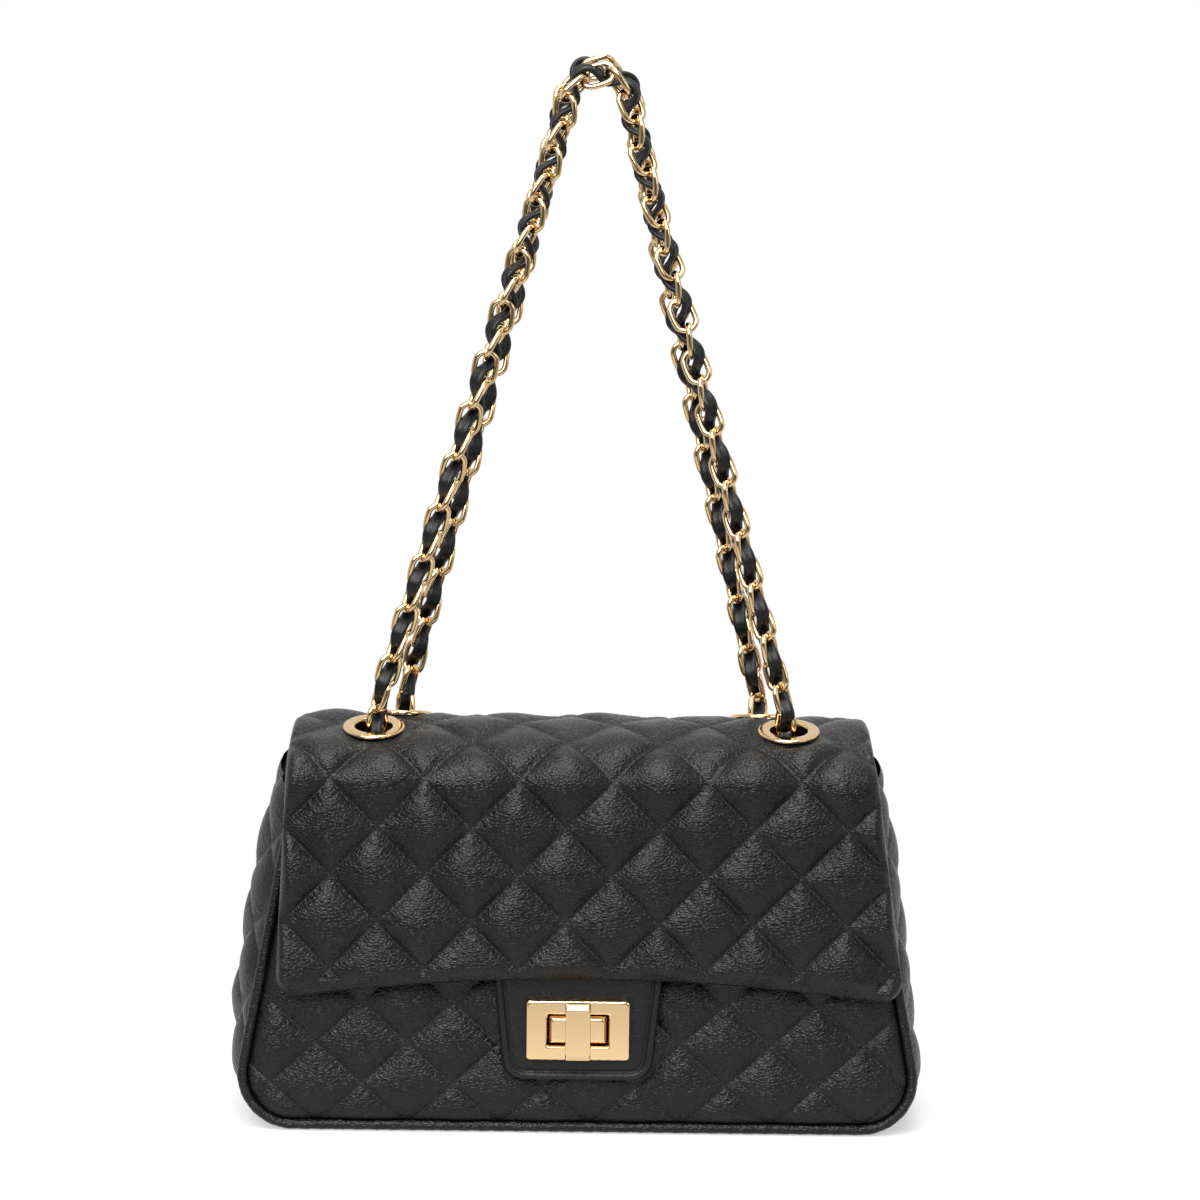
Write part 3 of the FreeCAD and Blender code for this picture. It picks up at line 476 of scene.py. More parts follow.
HEM_CENTRE, HEM_ARCH, DRAPE = 0.0645, 0.008, 0.004
FLAP_TOP_HALF, FLAP_HEM_HALF, FLAP_TAPER = 0.111, 0.1215, 0.115
FLAP_DIAMOND, FLAP_START = (0.0181, 0.0185), (0.0126, 0.0403)
FLAP_PUFF, FLAP_GATHER, FLAP_UNEVEN = 0.004, 0.00017, 0.0009
FLAP_STAND, FRONT_CROWN, HALF_THICK = 0.008, 0.006, 0.0035
SHOULDER_RADIUS, BACK_RADIUS, ROOF_SLOPE = 0.012, 0.0065, math.radians(26)
TAIL_SEAM, ROOF_START = 0.0035, 0.07
HOLE_RADIUS, SEWN_RADIUS, SEAT_RADIUS = 0.0093, 0.0135, 0.0165
FRONT_ROWS = 90
GROMMETS = {
    "front_left": (-0.0805, -0.019),
    "front_right": (0.0805, -0.019),
    "rear_left": (-0.071, 0.013),
    "rear_right": (0.071, 0.013),
}
LEAN = math.atan((SEAM_DEPTH_FLOOR - SEAM_DEPTH_TOP) / BODY_HEIGHT)
joints = {joint["name"]: joint for joint in frame["record"]["behaviour"]["joints"]}
HINGE = np.array(joints["flap_open"]["pos_m"][1:])
shoulder_z = HINGE[1] - SHOULDER_RADIUS * math.cos(ROOF_SLOPE)


def front_line(height):
    """Depth of the flap's middle line on its front."""
    return -seam_depth(height) - FRONT_CROWN - FLAP_STAND / math.cos(LEAN)


def arc(centre, radius, first, last, count):
    """Points on an arc, with angles measured from straight up, towards the back."""
    turn = np.linspace(first, last, count)[:, None]
    return centre + radius * np.concatenate([np.sin(turn), np.cos(turn)], axis=1)


shoulder = np.array([front_line(shoulder_z) + SHOULDER_RADIUS / math.cos(LEAN), shoulder_z])
crest_way = np.array([-math.sin(ROOF_SLOPE), math.cos(ROOF_SLOPE)])
roof_front = shoulder + crest_way * SHOULDER_RADIUS
to_hinge = HINGE - roof_front
ROOF_RADIUS = -(to_hinge @ to_hinge) / (to_hinge @ crest_way) / 2
roof_centre = roof_front - crest_way * ROOF_RADIUS
back_turn = math.asin((HINGE[0] - roof_centre[0]) / ROOF_RADIUS)
back_centre = HINGE - BACK_RADIUS * np.array([math.sin(back_turn), math.cos(back_turn)])
back_foot = back_centre + (BACK_RADIUS, 0)
front_run = np.linspace(0.05, shoulder_z, FRONT_ROWS)
profile = np.concatenate(
    [
        np.stack([front_line(front_run), front_run], -1)[:-1],
        arc(shoulder, SHOULDER_RADIUS, LEAN - math.pi / 2, -ROOF_SLOPE, 40)[:-1],
        arc(roof_centre, ROOF_RADIUS, -ROOF_SLOPE, back_turn, 80)[:-1],
        arc(back_centre, BACK_RADIUS, back_turn, math.pi / 2, 24),
        back_foot + (0.003, -0.021) * np.linspace(0, 1, 40)[1:, None],
    ]
)
reach = lengths(profile)
reach -= np.interp(HEM_CENTRE, profile[:FRONT_ROWS, 1], reach[:FRONT_ROWS])
heading = unit(np.gradient(profile, reach, axis=0))
hinge_reach = reach[np.argmin(np.linalg.norm(profile - HINGE, axis=1))]


def flap_half(along):
    """Half the flap's width: narrower from the hem to the roof, and inside the piping on the back."""
    height = np.interp(along, reach, profile[:, 1])
    taper = np.clip((height - (HEM_CENTRE - HEM_ARCH)) / FLAP_TAPER, 0, 1)
    width = FLAP_HEM_HALF - (FLAP_HEM_HALF - FLAP_TOP_HALF) * taper
    tail = np.clip((along - hinge_reach) / 0.008, 0, 1)
    tail_half = seam_half(height) - 0.004 - 0.005 * (1 - eased(reach[-1] - along, 0.005))
    return width * (1 - tail) + tail_half * tail


def drape(along):
    """How far the flap hangs to the right: nothing on the roof, and most at the hem."""
    return DRAPE * np.clip(1 - along / 0.09, 0, 1)


def flap_sheet(rows, columns, last):
    """Places over the flap: across, up from the hem's middle, and the gaps to the side and to the hem."""
    share = np.linspace(-1, 1, columns)[None, :]
    share = np.sign(share) * (1 - (1 - np.abs(share)) ** 1.2)
    hem = -HEM_ARCH * share**2
    along = hem + (last - hem) * np.linspace(0, 1, rows)[:, None] ** 1.08
    above = along - hem
    width = flap_half(along) - 0.009 * (1 - eased(above, 0.009))
    across = share * width
    return across + drape(along), along, width - np.abs(across), above


def on_flap(across, along, out):
    """Points set out from the flap's middle line by out."""
    columns = (profile[:, 0], profile[:, 1], -heading[:, 1], heading[:, 0])
    depth, height, way_y, way_z = (np.interp(along, reach, column) for column in columns)
    return np.stack([across, depth + way_y * out, height + way_z * out], -1)


def grommet_gap(across, depth):
    """Distance from the middle of the nearest grommet, seen from above."""
    return np.minimum.reduce([np.hypot(across - x, depth - y) for x, y in GROMMETS.values()])


def in_hole(points):
    """True for what lies where the grommets pass through the roof."""
    return (grommet_gap(points[:, 0], points[:, 1]) < HOLE_RADIUS) & (points[:, 2] > 0.13)


def flap_out(across, along, side_gap, hem_gap):
    """How far the skin stands out: low at the edges, and quilted up to the turned hem.
    The roof is pressed flat round each grommet, and the tail on the back is thin."""
    puff, gathers = quilted(across, along, FLAP_START, FLAP_DIAMOND)
    past_hinge = np.clip((along - hinge_reach + 0.016) / 0.014, 0, 1)
    roof = np.clip((along - 0.085) / 0.02, 0, 1)
    strip = np.clip((hem_gap - 0.001) / 0.005, 0, 1)
    uneven = 1 + 0.25 * soft(across, along, 4)
    swell = FLAP_PUFF * puff * uneven * strip * (1 - 0.5 * roof) * (1 - 0.85 * past_hinge)
    swell = swell + FLAP_GATHER * gathers * strip
    groove = 0.0004 * np.exp(-(((reach[-1] - along - TAIL_SEAM) / 0.0008) ** 2))
    level = 0.0012 * (1 - past_hinge) + 0.0009 * (1 - strip) - groove
    level = level + FLAP_UNEVEN * soft(across, along, 2)
    edge = eased(np.minimum(side_gap, hem_gap), 0.0045) * eased(reach[-1] - along + 0.0002, 0.003)
    out = -0.001 + edge * (0.001 + level + swell)
    seat = grommet_gap(across, np.interp(along, reach, profile[:, 0]))
    flatten = np.where(along > ROOF_START, np.clip((SEAT_RADIUS - seat) / 0.005, 0, 1), 0)
    return out * (1 - flatten) + 0.0021 * flatten


def flap_gaps(across, along):
    """Distances of a place on the flap from its side edge and from its hem."""
    across = across - drape(along)
    return flap_half(along) - np.abs(across), along + HEM_ARCH * (across / FLAP_HEM_HALF) ** 2


def flap_place(across, along, lift):
    """Points of the flap's outer face, lifted off it by lift."""
    return on_flap(across, along, flap_out(across, along, *flap_gaps(across, along)) + lift)


def flap_sewn(across, along):
    """True for what lies away from the edges, the grommets and the bend at the back."""
    side_gap, hem_gap = flap_gaps(across, along)
    seat = grommet_gap(across, np.interp(along, reach, profile[:, 0]))
    clear = (seat > SEWN_RADIUS) | (along < ROOF_START)
    return clear & (side_gap > 0.0015) & (hem_gap > 0.003) & (along < hinge_reach - 0.009)


across, along, side_gap, hem_gap = flap_sheet(280, 340, reach[-1])
out = flap_out(across, along, side_gap, hem_gap)
flap_skin = surface("flap cover", on_flap(across, along, out)[:, ::-1], black, drop=in_hole)
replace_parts(flap_skin, "flap_cover")
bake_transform(flap_skin)
tail_across = (np.arange(-0.105, 0.105, STITCH_PITCH)[:, None] + stitch) * 0.94
tail_along = reach[-1] - TAIL_SEAM + 0 * tail_across
quilt_across, quilt_along = quilt_rows(FLAP_START, FLAP_DIAMOND, 0.3, flap_sewn)
thread_across = np.concatenate([quilt_across, tail_across])
thread_along = np.concatenate([quilt_along, tail_along])
flap_thread = stitches("flap stitching", thread_across, thread_along, flap_place)
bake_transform(flap_thread)

across, along, side_gap, hem_gap = flap_sheet(130, 120, hinge_reach + 0.009)
fold = np.clip((along - hinge_reach + 0.003) / 0.006, 0, 1)
edge = eased(np.minimum(side_gap, hem_gap), 0.004) * (1 - 0.9 * fold)
under = -0.001 - edge * (0.0025 + 0.0002 * soft(across, along, 5))
flap_back = surface("flap lining", on_flap(across, along, under), plain, drop=in_hole)
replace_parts(flap_back, "flap_lining")
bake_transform(flap_back)

# Tongue: a plain leather tab on the flap's underside, with a raised welt round its edge and a window for
# the lock. It is drawn on the lock's own frame: across, up the front panel, and out from the panel's face.

LOOP_PLACES = 192
LOCK = np.array(joints["turn_bar_turn"]["pos_m"])
up_way = np.array([0, math.sin(LEAN), math.cos(LEAN)])
out_way = np.array([0, -math.cos(LEAN), math.sin(LEAN)])


def on_lock(flat, out):
    """Points of a flat outline at distance out from the front panel's face."""
    return LOCK + flat[:, :1] * (1, 0, 0) + flat[:, 1:] * up_way + out * out_way


def polygon(corners, radii):
    """A closed outline with rounded corners, as points at even angles round the middle of the lock."""
    corners = np.array(corners)
    mix = np.linspace(0, 1, 24)[:, None]
    pieces = []
    for k, radius in enumerate(radii):
        before, here, after = corners[k - 1], corners[k], corners[(k + 1) % len(corners)]
        centre, enter, leave = fillet(here, unit(before - here), unit(after - here), radius)
        pieces.append(centre + unit((enter - centre) * (1 - mix) + (leave - centre) * mix) * radius)
    loop = np.concatenate(pieces)
    steps = np.linspace(0, 1, 12)[:-1, None]
    dense = np.concatenate([a + (b - a) * steps for a, b in zip(loop, np.roll(loop, -1, axis=0))])
    angle = np.mod(np.arctan2(dense[:, 1], dense[:, 0]), 2 * math.pi)
    order = np.argsort(angle)
    wanted = full_turn(LOOP_PLACES)
    radius = np.interp(wanted, angle[order], np.hypot(*dense.T)[order], period=2 * math.pi)
    return np.stack([np.cos(wanted), np.sin(wanted)], -1) * radius[:, None]


def rectangle(width, height, radius):
    """A rounded rectangle round the middle of the lock."""
    w, h = width / 2, height / 2
    return polygon([(w, h), (-w, h), (-w, -h), (w, -h)], [radius] * 4)


def tongue_outline(inset):
    """The tongue's outline drawn in by inset: wide above, narrower and with large round corners below."""
    top, end, rise, drop = 0.034 - inset, 0.0285 - inset, 0.034 - inset, 0.0205 - inset
    corners = [(top, rise), (-top, rise), (-end, -drop), (end, -drop)]
    return polygon(corners, [0.002, 0.002, 0.009 - inset, 0.009 - inset])


# Insets and distances from the panel's face, from the tongue's underside over the welt to its flat face.
tongue_steps = [
    (0.0012, 0.0006), (0.0003, 0.0014), (0.0, 0.0026), (0.0003, 0.0037), (0.0009, 0.0046),
    (0.0017, 0.0051), (0.0026, 0.0048), (0.0032, 0.0039), (0.0036, 0.0035), (0.0041, 0.0038),
    (0.0052, 0.0043), (0.0075, 0.0043),
]
face_inset, face_out = tongue_steps[-1]
window = rectangle(0.024, 0.0126, 0.0008)
loops = [on_lock(tongue_outline(inset), out) for inset, out in tongue_steps]
for mix in np.linspace(0, 1, 14)[1:]:
    loops.append(on_lock(tongue_outline(face_inset) * (1 - mix) + window * mix, face_out))
loops.append(on_lock(window, 0.0006))
for mix in np.linspace(0, 1, 10)[1:]:
    loops.append(on_lock(window * (1 - mix) + tongue_outline(0.0012) * mix, 0.0005))
tongue_skin = surface("tongue", np.stack(loops), plain, closed=True)
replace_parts(tongue_skin, "tongue", "tongue_lining", "lock_plate_washer")
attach(tongue_skin, "flap")

# Turn lock: a plate with a window on the tongue, a boss on the front panel that stands in the window,
# and a bar on a stem that turns across the plate. All are polished pale gold metal.

PLATE_FACE, BOSS_FACE, BAR_BACK, BAR_FACE = 0.0074, 0.007, 0.0079, 0.0111
NECK_RADIUS = 0.0025
gold, _, gold_shader = group("pale gold", (0.69, 0.49, 0.265), 0.13)
gold_shader.inputs["Metallic"].default_value = 1.0
tip = rectangle(0.0003, 0.0003, 0.0001)


def stepped(width, height, radius, steps):
    """Loops of a rounded rectangle, drawn in and set out from the panel by each step."""
    return [on_lock(rectangle(width - 2 * inset, height - 2 * inset, radius), out) for inset, out in steps]


def gold_piece(name, loops, body):
    """A metal skin over a stack of closed loops."""
    made = surface(name, np.stack(loops), gold, closed=True)
    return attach(made, body)


plate_steps = [
    (0, 0.0044), (0, 0.0062), (0, 0.0066), (0.0002, 0.0069), (0.0006, 0.0073), (0.0008, PLATE_FACE),
    (0.0011, PLATE_FACE),
]
window_steps = [
    (0.0, PLATE_FACE), (0.0003, PLATE_FACE), (0.0005, 0.0073), (0.0007, 0.0069), (0.0009, 0.0065),
    (0.0009, 0.0044),
]
loops = stepped(0.04, 0.0236, 0.0013, plate_steps)
for mix in np.linspace(0, 1, 6)[1:-1]:
    outer = rectangle(0.0378, 0.0214, 0.0013) * (1 - mix) + rectangle(0.0256, 0.0142, 0.0012) * mix
    loops.append(on_lock(outer, PLATE_FACE))
loops += stepped(0.0256, 0.0142, 0.001, window_steps)
plate_skin = gold_piece("lock plate", loops, "flap")
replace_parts(plate_skin, "lock_plate")

boss_steps = [
    (0, 0.0002), (0, 0.0054), (0.0001, 0.0057), (0.0011, 0.0068), (0.0014, BOSS_FACE), (0.0018, BOSS_FACE),
]
loops = [*stepped(0.0224, 0.011, 0.0009, boss_steps), on_lock(tip, BOSS_FACE)]
boss_skin = gold_piece("lock boss", loops, "body")
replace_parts(boss_skin, "lock_boss", "lock_washer", "turn_spring")

# Widths, heights and distances from the panel's face, from the bar's back to its face.
bar_steps = [
    (0.0092, 0.0222, BAR_BACK), (0.0098, 0.0228, 0.0082), (0.0098, 0.0228, 0.0092),
    (0.0097, 0.0225, 0.0094), (0.0095, 0.0184, 0.0109), (0.0093, 0.0178, BAR_FACE),
    (0.0089, 0.0174, BAR_FACE), (0.004, 0.009, BAR_FACE),
]
loops = [on_lock(rectangle(width, height, 0.0006), out) for width, height, out in bar_steps]
bar_skin = gold_piece("turn bar", [on_lock(tip, BAR_BACK), *loops, on_lock(tip, BAR_FACE)], "turn_bar")
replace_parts(bar_skin, "turn_bar")
neck_turn = full_turn(48)
neck_ring = np.stack([np.cos(neck_turn), np.sin(neck_turn)], -1) * NECK_RADIUS
gold_piece("turn bar neck", [on_lock(neck_ring, out) for out in (0.0062, 0.0082)], "turn_bar")

# Grommets: four gold eyelets through the roof of the flap, each with a rounded flange and a smooth barrel.
# A flat washer closes each one underneath.

FLANGE_RADIUS, FLANGE_HALF, FLANGE_RISE = 0.00965, 0.00235, 0.0013


def roof_frame(x, y):
    """The roof's outer point over a place, and the way out from it."""
    radius = ROOF_RADIUS + HALF_THICK
    rise = math.sqrt(radius**2 - (y - roof_centre[0]) ** 2)
    return np.array([x, y, roof_centre[1] + rise]), np.array([0, y - roof_centre[0], rise]) / radius


flange_turn = np.linspace(0, math.pi, 27)
flange_radius = FLANGE_RADIUS + FLANGE_HALF * np.cos(flange_turn)
flange_rise = FLANGE_RISE * np.sin(flange_turn) ** 0.5 - FLANGE_RISE
barrel = [(0.0073, -0.0017), (0.0073, -0.004), (0.0073, -0.0095), (0.0079, -0.0109), (0.0094, -0.0111)]
eyelet = np.concatenate([np.stack([flange_radius, flange_rise], -1), barrel])
eyelet_turn = full_turn(72)[:, None]
for name, (x, y) in GROMMETS.items():
    point, outward = roof_frame(x, y)
    forward = np.cross(outward, (1, 0, 0))
    spoke = np.cos(eyelet_turn) * np.array([1, 0, 0]) + np.sin(eyelet_turn) * forward
    rings = point + eyelet[:, None, :1] * spoke[None] + eyelet[:, None, 1:] * outward
    grommet = gold_piece(name.replace("_", " ") + " grommet", rings[:, ::-1], "flap")
    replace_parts(grommet, name + "_grommet")
    washer = frame["nodes"][name + "_grommet_washer"].data
    washer.materials.clear()
    washer.materials.append(gold)

# Chain: two strands of oval gold links over the shoulder, and a short run under the roof at each side.
# Each link lies between two joints of its strand, and neighbours stand a quarter turn from each other.
# The lace pushes a strand's joints aside, one to the one side and the next to the other.

PITCH, WIRE, LINK_WIDTH, PLAY, LINK_PUSH = 0.01025, 0.00095, 0.0102, 0.0004, 0.0012
STRAND_LINKS, INNER_LINKS = 51, 7
PIVOT_RISE, SEAT = 0.008, 0.0013
JOINT_RISE = PIVOT_RISE - WIRE - PLAY / 2
WAIST, WAIST_SHARE = 0.0045, 0.76
APEX_X, APEX_Y, APEX_APART = 0.005, -0.002, 0.007
STRANDS = {"front": (-1, *GROMMETS["front_right"]), "rear": (1, *GROMMETS["rear_right"])}
ROLL_LINKS = (0, 6, 11, 16, 20, 25.5, 31, 35, 40, 45, 51)
ROLL_DEGREES = (74, 72, 66, 38, 10, 20, 10, 38, 66, 74, 80)


def rounded(points, radius):
    """Close points along straight runs joined by tangent arcs, and their distances from the start."""
    points = np.array(points)
    share = np.linspace(0, 1, 120)[:, None]
    out = [points[0]]
    for before, here, after in zip(points, points[1:], points[2:]):
        back, ahead = unit(before - here), unit(after - here)
        centre, enter, leave = fillet(here, back, ahead, radius)
        turn = math.pi - math.acos(back @ ahead)
        bend = (enter - centre) * np.sin((1 - share) * turn) + (leave - centre) * np.sin(share * turn)
        out.extend(centre + bend / math.sin(turn))
    out = np.array([*out, points[-1]])
    return out, lengths(out)


def fitted(points_at, low, high, radius, wanted):
    """The path of the wanted length, out of those that points_at gives between low and high."""
    for _ in range(50):
        middle = (low + high) / 2
        if rounded(points_at(middle), radius)[1][-1] < wanted:
            low = middle
        else:
            high = middle
    return rounded(points_at(middle), radius)


def along_path(path, distance):
    """Points of a path at distances from its start."""
    points, length = path
    return np.stack([np.interp(distance, length, points[:, k]) for k in range(3)], -1)


def ahead_at(path, distance):
    """The ways ahead along a path."""
    return unit(along_path(path, distance + 0.0004) - along_path(path, distance - 0.0004))


def strand_path(side, x, y):
    """The strand's arch from its left grommet to its right one, as high as its links reach."""
    ends = [roof_frame(hand * (x - SEAT), y) for hand in (-1, 1)]
    ends = [point + outward * JOINT_RISE for point, outward in ends]

    def route(rise):
        """From end to end over the apex, drawn in by the waist on both legs."""
        apex = np.array([APEX_X, APEX_Y + side * APEX_APART, ends[0][2] + rise])
        left, right = (end + (apex - end) * WAIST_SHARE for end in ends)
        return [ends[0], left + (WAIST, 0, 0), apex, right - (WAIST, 0, 0), ends[1]]

    return fitted(route, 0.02, 0.34, 0.012, PITCH * STRAND_LINKS)


def inner_path(hand):
    """The run under the roof from the front grommet to the rear one, as deep as its links reach."""
    (front_x, front_y), (rear_x, rear_y) = GROMMETS["front_right"], GROMMETS["rear_right"]
    front, front_out = roof_frame(hand * (front_x - SEAT), front_y)
    rear, rear_out = roof_frame(hand * (rear_x - SEAT), rear_y)
    front_end, rear_end = front + front_out * JOINT_RISE, rear + rear_out * JOINT_RISE

    def route(deep):
        """Down through one grommet and up through the other."""
        return [front_end, front - front_out * deep, rear - rear_out * deep, rear_end]

    return fitted(route, 0.011, 0.06, 0.011, PITCH * INNER_LINKS)


def link_grid():
    """One link as a closed tube round a stadium: places along, across and out of its own plane."""
    bend = LINK_WIDTH / 2 - WIRE
    straight = (PITCH + 2 * WIRE + PLAY) / 2 - bend
    turn = full_turn(64)
    across, along = np.cos(turn), np.sin(turn)
    ends = np.sign(np.round(along, 6)) * straight * np.minimum(1, np.abs(along) * 3)
    middle = np.stack([bend * along + ends, bend * across], -1)
    way = unit(np.roll(middle, -1, axis=0) - np.roll(middle, 1, axis=0))
    normal = np.stack([way[:, 1], -way[:, 0]], -1)
    section = full_turn(14)[None, :, None]
    full = 1.2 * WIRE
    flat = middle[:, None] + normal[:, None] * (full * np.cos(section))
    lift = np.broadcast_to(full * np.sin(section), flat.shape[:2] + (1,))
    return np.concatenate([flat, lift], -1)


def square_to(ways, ahead):
    """The ways turned square to the ways ahead."""
    return unit(ways - ahead * (ways * ahead).sum(axis=1)[:, None])


def chain(name, places, width_ways, body, nodes):
    """The link's grid is set between each pair of joints, with its width along width_ways."""
    start, end = places[:-1], places[1:]
    ahead = unit(end - start)
    wide = square_to(width_ways, ahead)
    frames = np.stack([ahead, wide, np.cross(ahead, wide)], 1)
    points = (start + end)[:, None, None] / 2 + np.einsum("abi,nij->nabj", link_grid(), frames)
    made = repeated(name, points, True, gold)
    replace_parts(made, *nodes)
    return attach(made, body)


def cross_ways(path, distance, side):
    """At each distance: the way out to the strand's own side, and the way out of the arch."""
    ahead = ahead_at(path, distance)
    face = unit(np.array([0.0, side, 0.0]) - ahead * (ahead[:, 1:2] * side))
    return face, np.cross(face, ahead) * -side


def strand_roll(distance):
    """Angle of the weave from the arch's plane: steep in the legs, and small towards the crown."""
    return np.radians(np.interp(distance / PITCH, ROLL_LINKS, ROLL_DEGREES))


def in_turn(count):
    """1 and -1 in turn."""
    return np.where(np.arange(count) % 2 == 0, 1, -1)


strand_paths, inner_paths = {}, {}
for name, (side, x, y) in STRANDS.items():
    path = strand_paths[name] = strand_path(side, x, y)
    number = np.arange(STRAND_LINKS + 1)
    face, outer = cross_ways(path, PITCH * number, side)
    roll = strand_roll(PITCH * number)[:, None]
    free = np.clip(np.minimum(number, STRAND_LINKS - number) - 1, 0, 1)
    push = (LINK_PUSH * in_turn(STRAND_LINKS + 1) * free)[:, None]
    places = along_path(path, PITCH * number) + (outer * np.cos(roll) + face * np.sin(roll)) * push
    middle = PITCH * (np.arange(STRAND_LINKS) + 0.5)
    face, outer = cross_ways(path, middle, side)
    roll = (strand_roll(middle) + in_turn(STRAND_LINKS) * math.pi / 4)[:, None]
    wide = outer * np.cos(roll) + face * np.sin(roll)
    nodes = [name + "_chain_left_leg", name + "_chain_crown", name + "_chain_right_leg"]
    chain(name + " chain", places, wide, name + "_strap", nodes)
for name, hand in (("left", -1), ("right", 1)):
    path = inner_paths[name] = inner_path(hand)
    places = along_path(path, PITCH * np.arange(INNER_LINKS + 1))
    turned = np.cross([1.0, 0, 0], np.diff(places, axis=0) / PITCH)
    wide = np.array([1.0, 0, 0]) - hand * turned * in_turn(INNER_LINKS)[:, None]
    chain(name + " inner chain", places, wide, "flap", [name + "_inner_chain"])

# Laces: a folded strip of black leather woven through each strand, passing every joint on the other side.
# The strand's lace bends at the grommet and goes on into the bag.

LACE_SWING, LACE_HALF, LACE_THICK = 0.0034, 0.0026, 0.0012
TAIL_LENGTH, TAIL_PLACES = 0.009, 30
lace_leather = leather("lace leather", (0.005, 0.005, 0.0055), 0.3, 0.0007, 0.00004)


def lace(name, path, distance, weave_way, span_way):
    """A flat strip on a wave: along weave_way its centre moves by the cosine of its place between joints.
    The section is a rounded bar with a groove down its face, where the strip is folded."""
    wave = np.cos(math.pi * distance / PITCH)
    swing = LACE_SWING * np.sign(wave) * np.abs(wave) ** 0.85
    line = along_path(path, distance) - weave_way * swing[:, None]
    ahead = unit(np.gradient(line, axis=0))
    span = square_to(span_way, ahead)
    thick = np.cross(ahead, span)
    turn = full_turn(24)[:, None]
    wide_part = np.sign(np.cos(turn)) * np.abs(np.cos(turn)) ** 0.75
    thick_part = LACE_THICK * np.sign(np.sin(turn)) * np.abs(np.sin(turn)) ** 0.75
    thick_part = thick_part * (1 - 0.4 * np.exp(-((wide_part / 0.2) ** 2)))
    half = (LACE_HALF + 0.0001 * np.abs(wave))[:, None, None]
    points = line[:, None] + span[:, None] * wide_part * half + thick[:, None] * thick_part
    made = surface(name, points, lace_leather, closed=True)
    return made


for name, (side, x, y) in STRANDS.items():
    total = PITCH * STRAND_LINKS
    tail = np.linspace(0, TAIL_LENGTH, TAIL_PLACES)
    if name == "rear":
        tail = PITCH * INNER_LINKS - tail
    left, right = (along_path(inner_paths[hand], tail) for hand in ("left", "right"))
    points = np.concatenate([left[:0:-1], strand_paths[name][0], right[1:]])
    length = lengths(points)
    whole = (points, length - length[TAIL_PLACES - 1])
    distance = np.linspace(-0.0085, total + 0.0085, 1500)
    face, outer = cross_ways(whole, distance, side)
    roll = strand_roll(np.clip(distance, 0, total))[:, None]
    weave_way = outer * np.cos(roll) + face * np.sin(roll)
    span_way = face * np.cos(roll) - outer * np.sin(roll)
    strip = lace(name + " lace", whole, distance, weave_way, span_way)
    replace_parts(strip, name + "_lace_left", name + "_lace_right")
    pivot, outward = roof_frame(0, y)
    pivot = pivot + outward * PIVOT_RISE
    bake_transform(strip)
for name, path in inner_paths.items():
    distance = np.linspace(0.0075, PITCH * INNER_LINKS - 0.0075, 200)
    ahead = ahead_at(path, distance)
    wide = np.broadcast_to(np.array([1.0, 0, 0]), ahead.shape)
    strip = lace(name + " inner lace", path, distance, np.cross(ahead, wide), wide)
    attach(strip, "flap")

# Studio: a white floor and background, a large soft light in front, above and a little to the left, a weak
# one at the right and one overhead. The camera stands a little above the bag, straight in front of it.

white, white_tree, white_shader = group("white floor", (0.92, 0.92, 0.92), 0.6)
floor_place = node(white_tree, "TexCoord").outputs["Object"]
away = node(white_tree, "VectorMath", {0: floor_place}, operation="LENGTH").outputs["Value"]
fade = {"Value": away, "From Min": 0.15, "From Max": 0.31, "To Min": 0.5}
faded = node(white_tree, "MapRange", fade, interpolation_type="SMOOTHSTEP").outputs["Result"]
glow = node(white_tree, "Emission").outputs["Emission"]
mixed = node(white_tree, "MixShader", {"Fac": faded, 1: white_shader.outputs["BSDF"], 2: glow})
white_tree.links.new(mixed.outputs["Shader"], white_tree.nodes["Material Output"].inputs["Surface"])
floor_x, floor_y = np.meshgrid(np.linspace(-0.32, 0.32, 3), np.linspace(-0.56, 0.62, 3), indexing="ij")
floor = surface("floor", np.stack([floor_x, floor_y, np.full_like(floor_x, -0.0001)], -1)[:, ::-1], white)

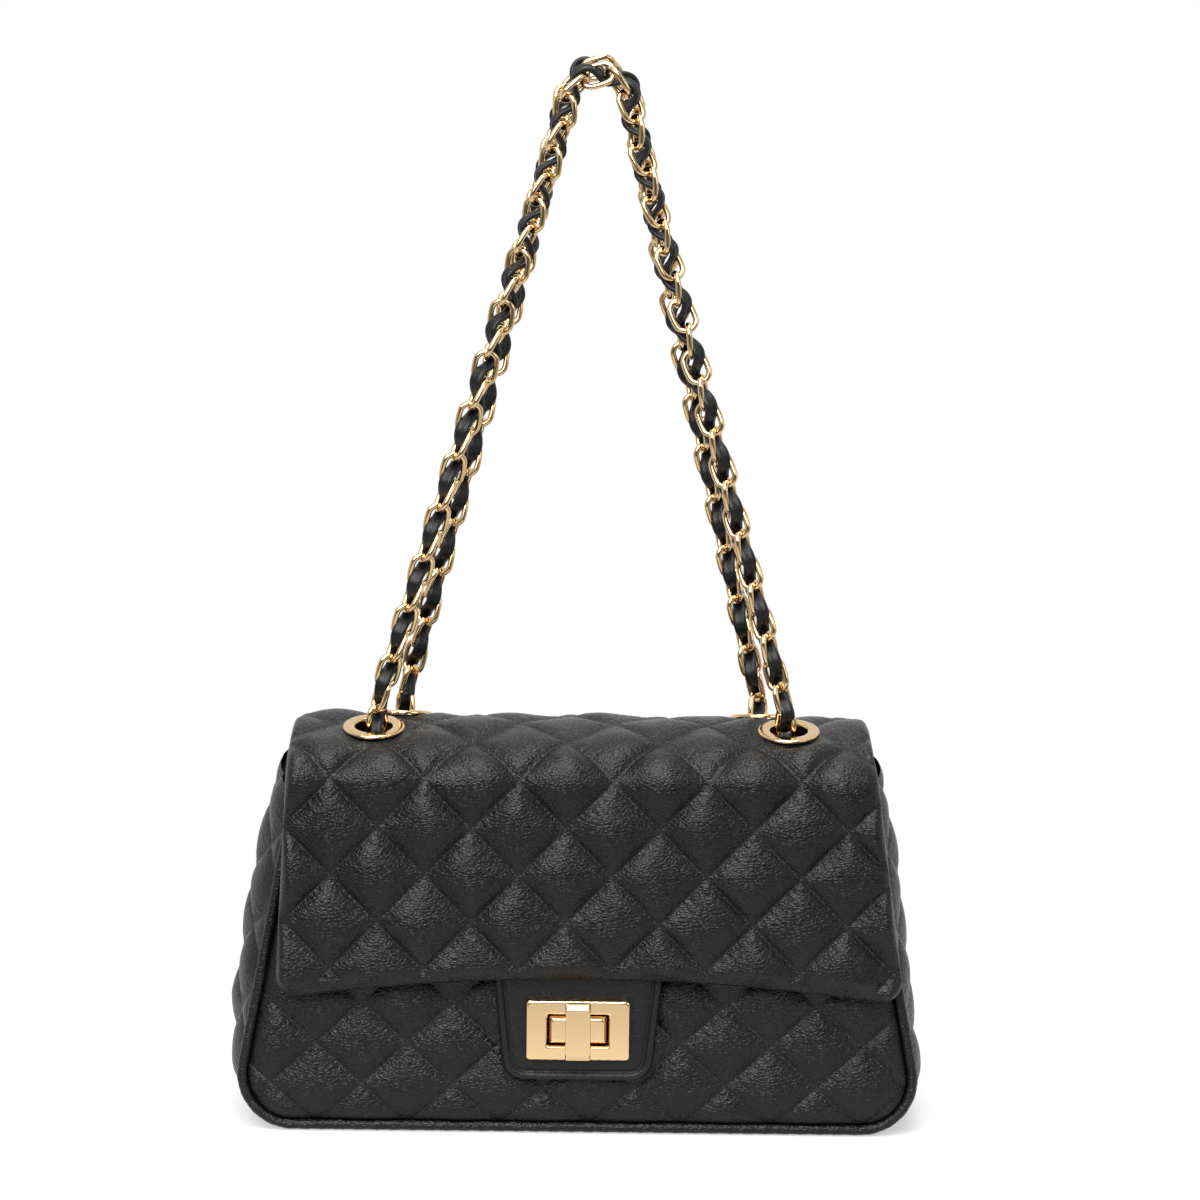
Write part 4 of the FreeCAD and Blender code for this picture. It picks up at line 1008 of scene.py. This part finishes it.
# The surround is white to the camera; what is mirrored in the bag is darker in front than behind.
world = bpy.data.worlds.new("white surround")
bpy.context.scene.world = world
world.use_nodes = True
sky = world.node_tree
seen = node(sky, "LightPath").outputs
sky_way = node(sky, "SeparateXYZ", {0: node(sky, "TexCoord").outputs["Generated"]}).outputs["Y"]
sky_depth = node(sky, "MapRange", {"Value": sky_way, "From Min": -1.0, "From Max": 0.3, "To Min": 0.08})
rays = {0: seen["Is Glossy Ray"], 1: seen["Is Transmission Ray"]}
mirrored = node(sky, "Math", rays, operation="MAXIMUM").outputs[0]
dimmed = {"Value": mirrored, "To Min": 0.3, "To Max": sky_depth.outputs["Result"]}
bounced = node(sky, "MapRange", dimmed).outputs["Result"]
strength = node(sky, "Math", {0: seen["Is Camera Ray"], 1: bounced}, operation="MAXIMUM")
sky.links.new(strength.outputs[0], sky.nodes["Background"].inputs["Strength"])
sky.nodes["Background"].inputs["Color"].default_value = (1, 1, 1, 1)


def light(name, place, target, size, power):
    """A square area light that faces the target."""
    lamp = bpy.data.lights.new(name, "AREA")
    lamp.size = size
    lamp.energy = power
    made = bpy.data.objects.new(name, lamp)
    bpy.context.collection.objects.link(made)
    made.location = place
    way = np.array(target) - np.array(place)
    tilt, facing = math.acos(-way[2] / np.linalg.norm(way)), math.atan2(way[1], way[0])
    made.rotation_euler = (tilt, 0, facing - math.pi / 2)
    return made


light("key", (-0.3, -1.1, 1.22), (0, 0, 0.12), 1.45, 50)
light("fill", (1.2, -0.9, 0.7), (0, 0, 0.12), 0.7, 3)
light("top", (0.1, 0.0, 1.5), (0, 0, 0.1), 0.6, 10)

PICTURE, SENSOR, FOCAL_PIXELS = 1200, 36, 4093
CENTRE_X, CENTRE_Y = 582.6, 614.3
DISTANCE, AIM_HEIGHT, ELEVATION, ROLL = 1.6, 0.2, math.radians(9), math.radians(0.65)
camera = bpy.data.cameras.new("camera")
camera.sensor_width = SENSOR
camera.lens = FOCAL_PIXELS * SENSOR / PICTURE
camera.shift_x, camera.shift_y = (PICTURE / 2 - CENTRE_X) / PICTURE, (CENTRE_Y - PICTURE / 2) / PICTURE
eye = bpy.data.objects.new("camera", camera)
bpy.context.collection.objects.link(eye)
eye.location = (0, -DISTANCE * math.cos(ELEVATION), AIM_HEIGHT + DISTANCE * math.sin(ELEVATION))
eye.rotation_mode = "XYZ"
level = mathutils.Euler((math.pi / 2 - ELEVATION, 0, 0)).to_matrix()
eye.rotation_euler = (level @ mathutils.Matrix.Rotation(ROLL, 3, "Z")).to_euler()
bpy.context.scene.camera = eye
bpy.context.scene.view_settings.view_transform = "Standard"
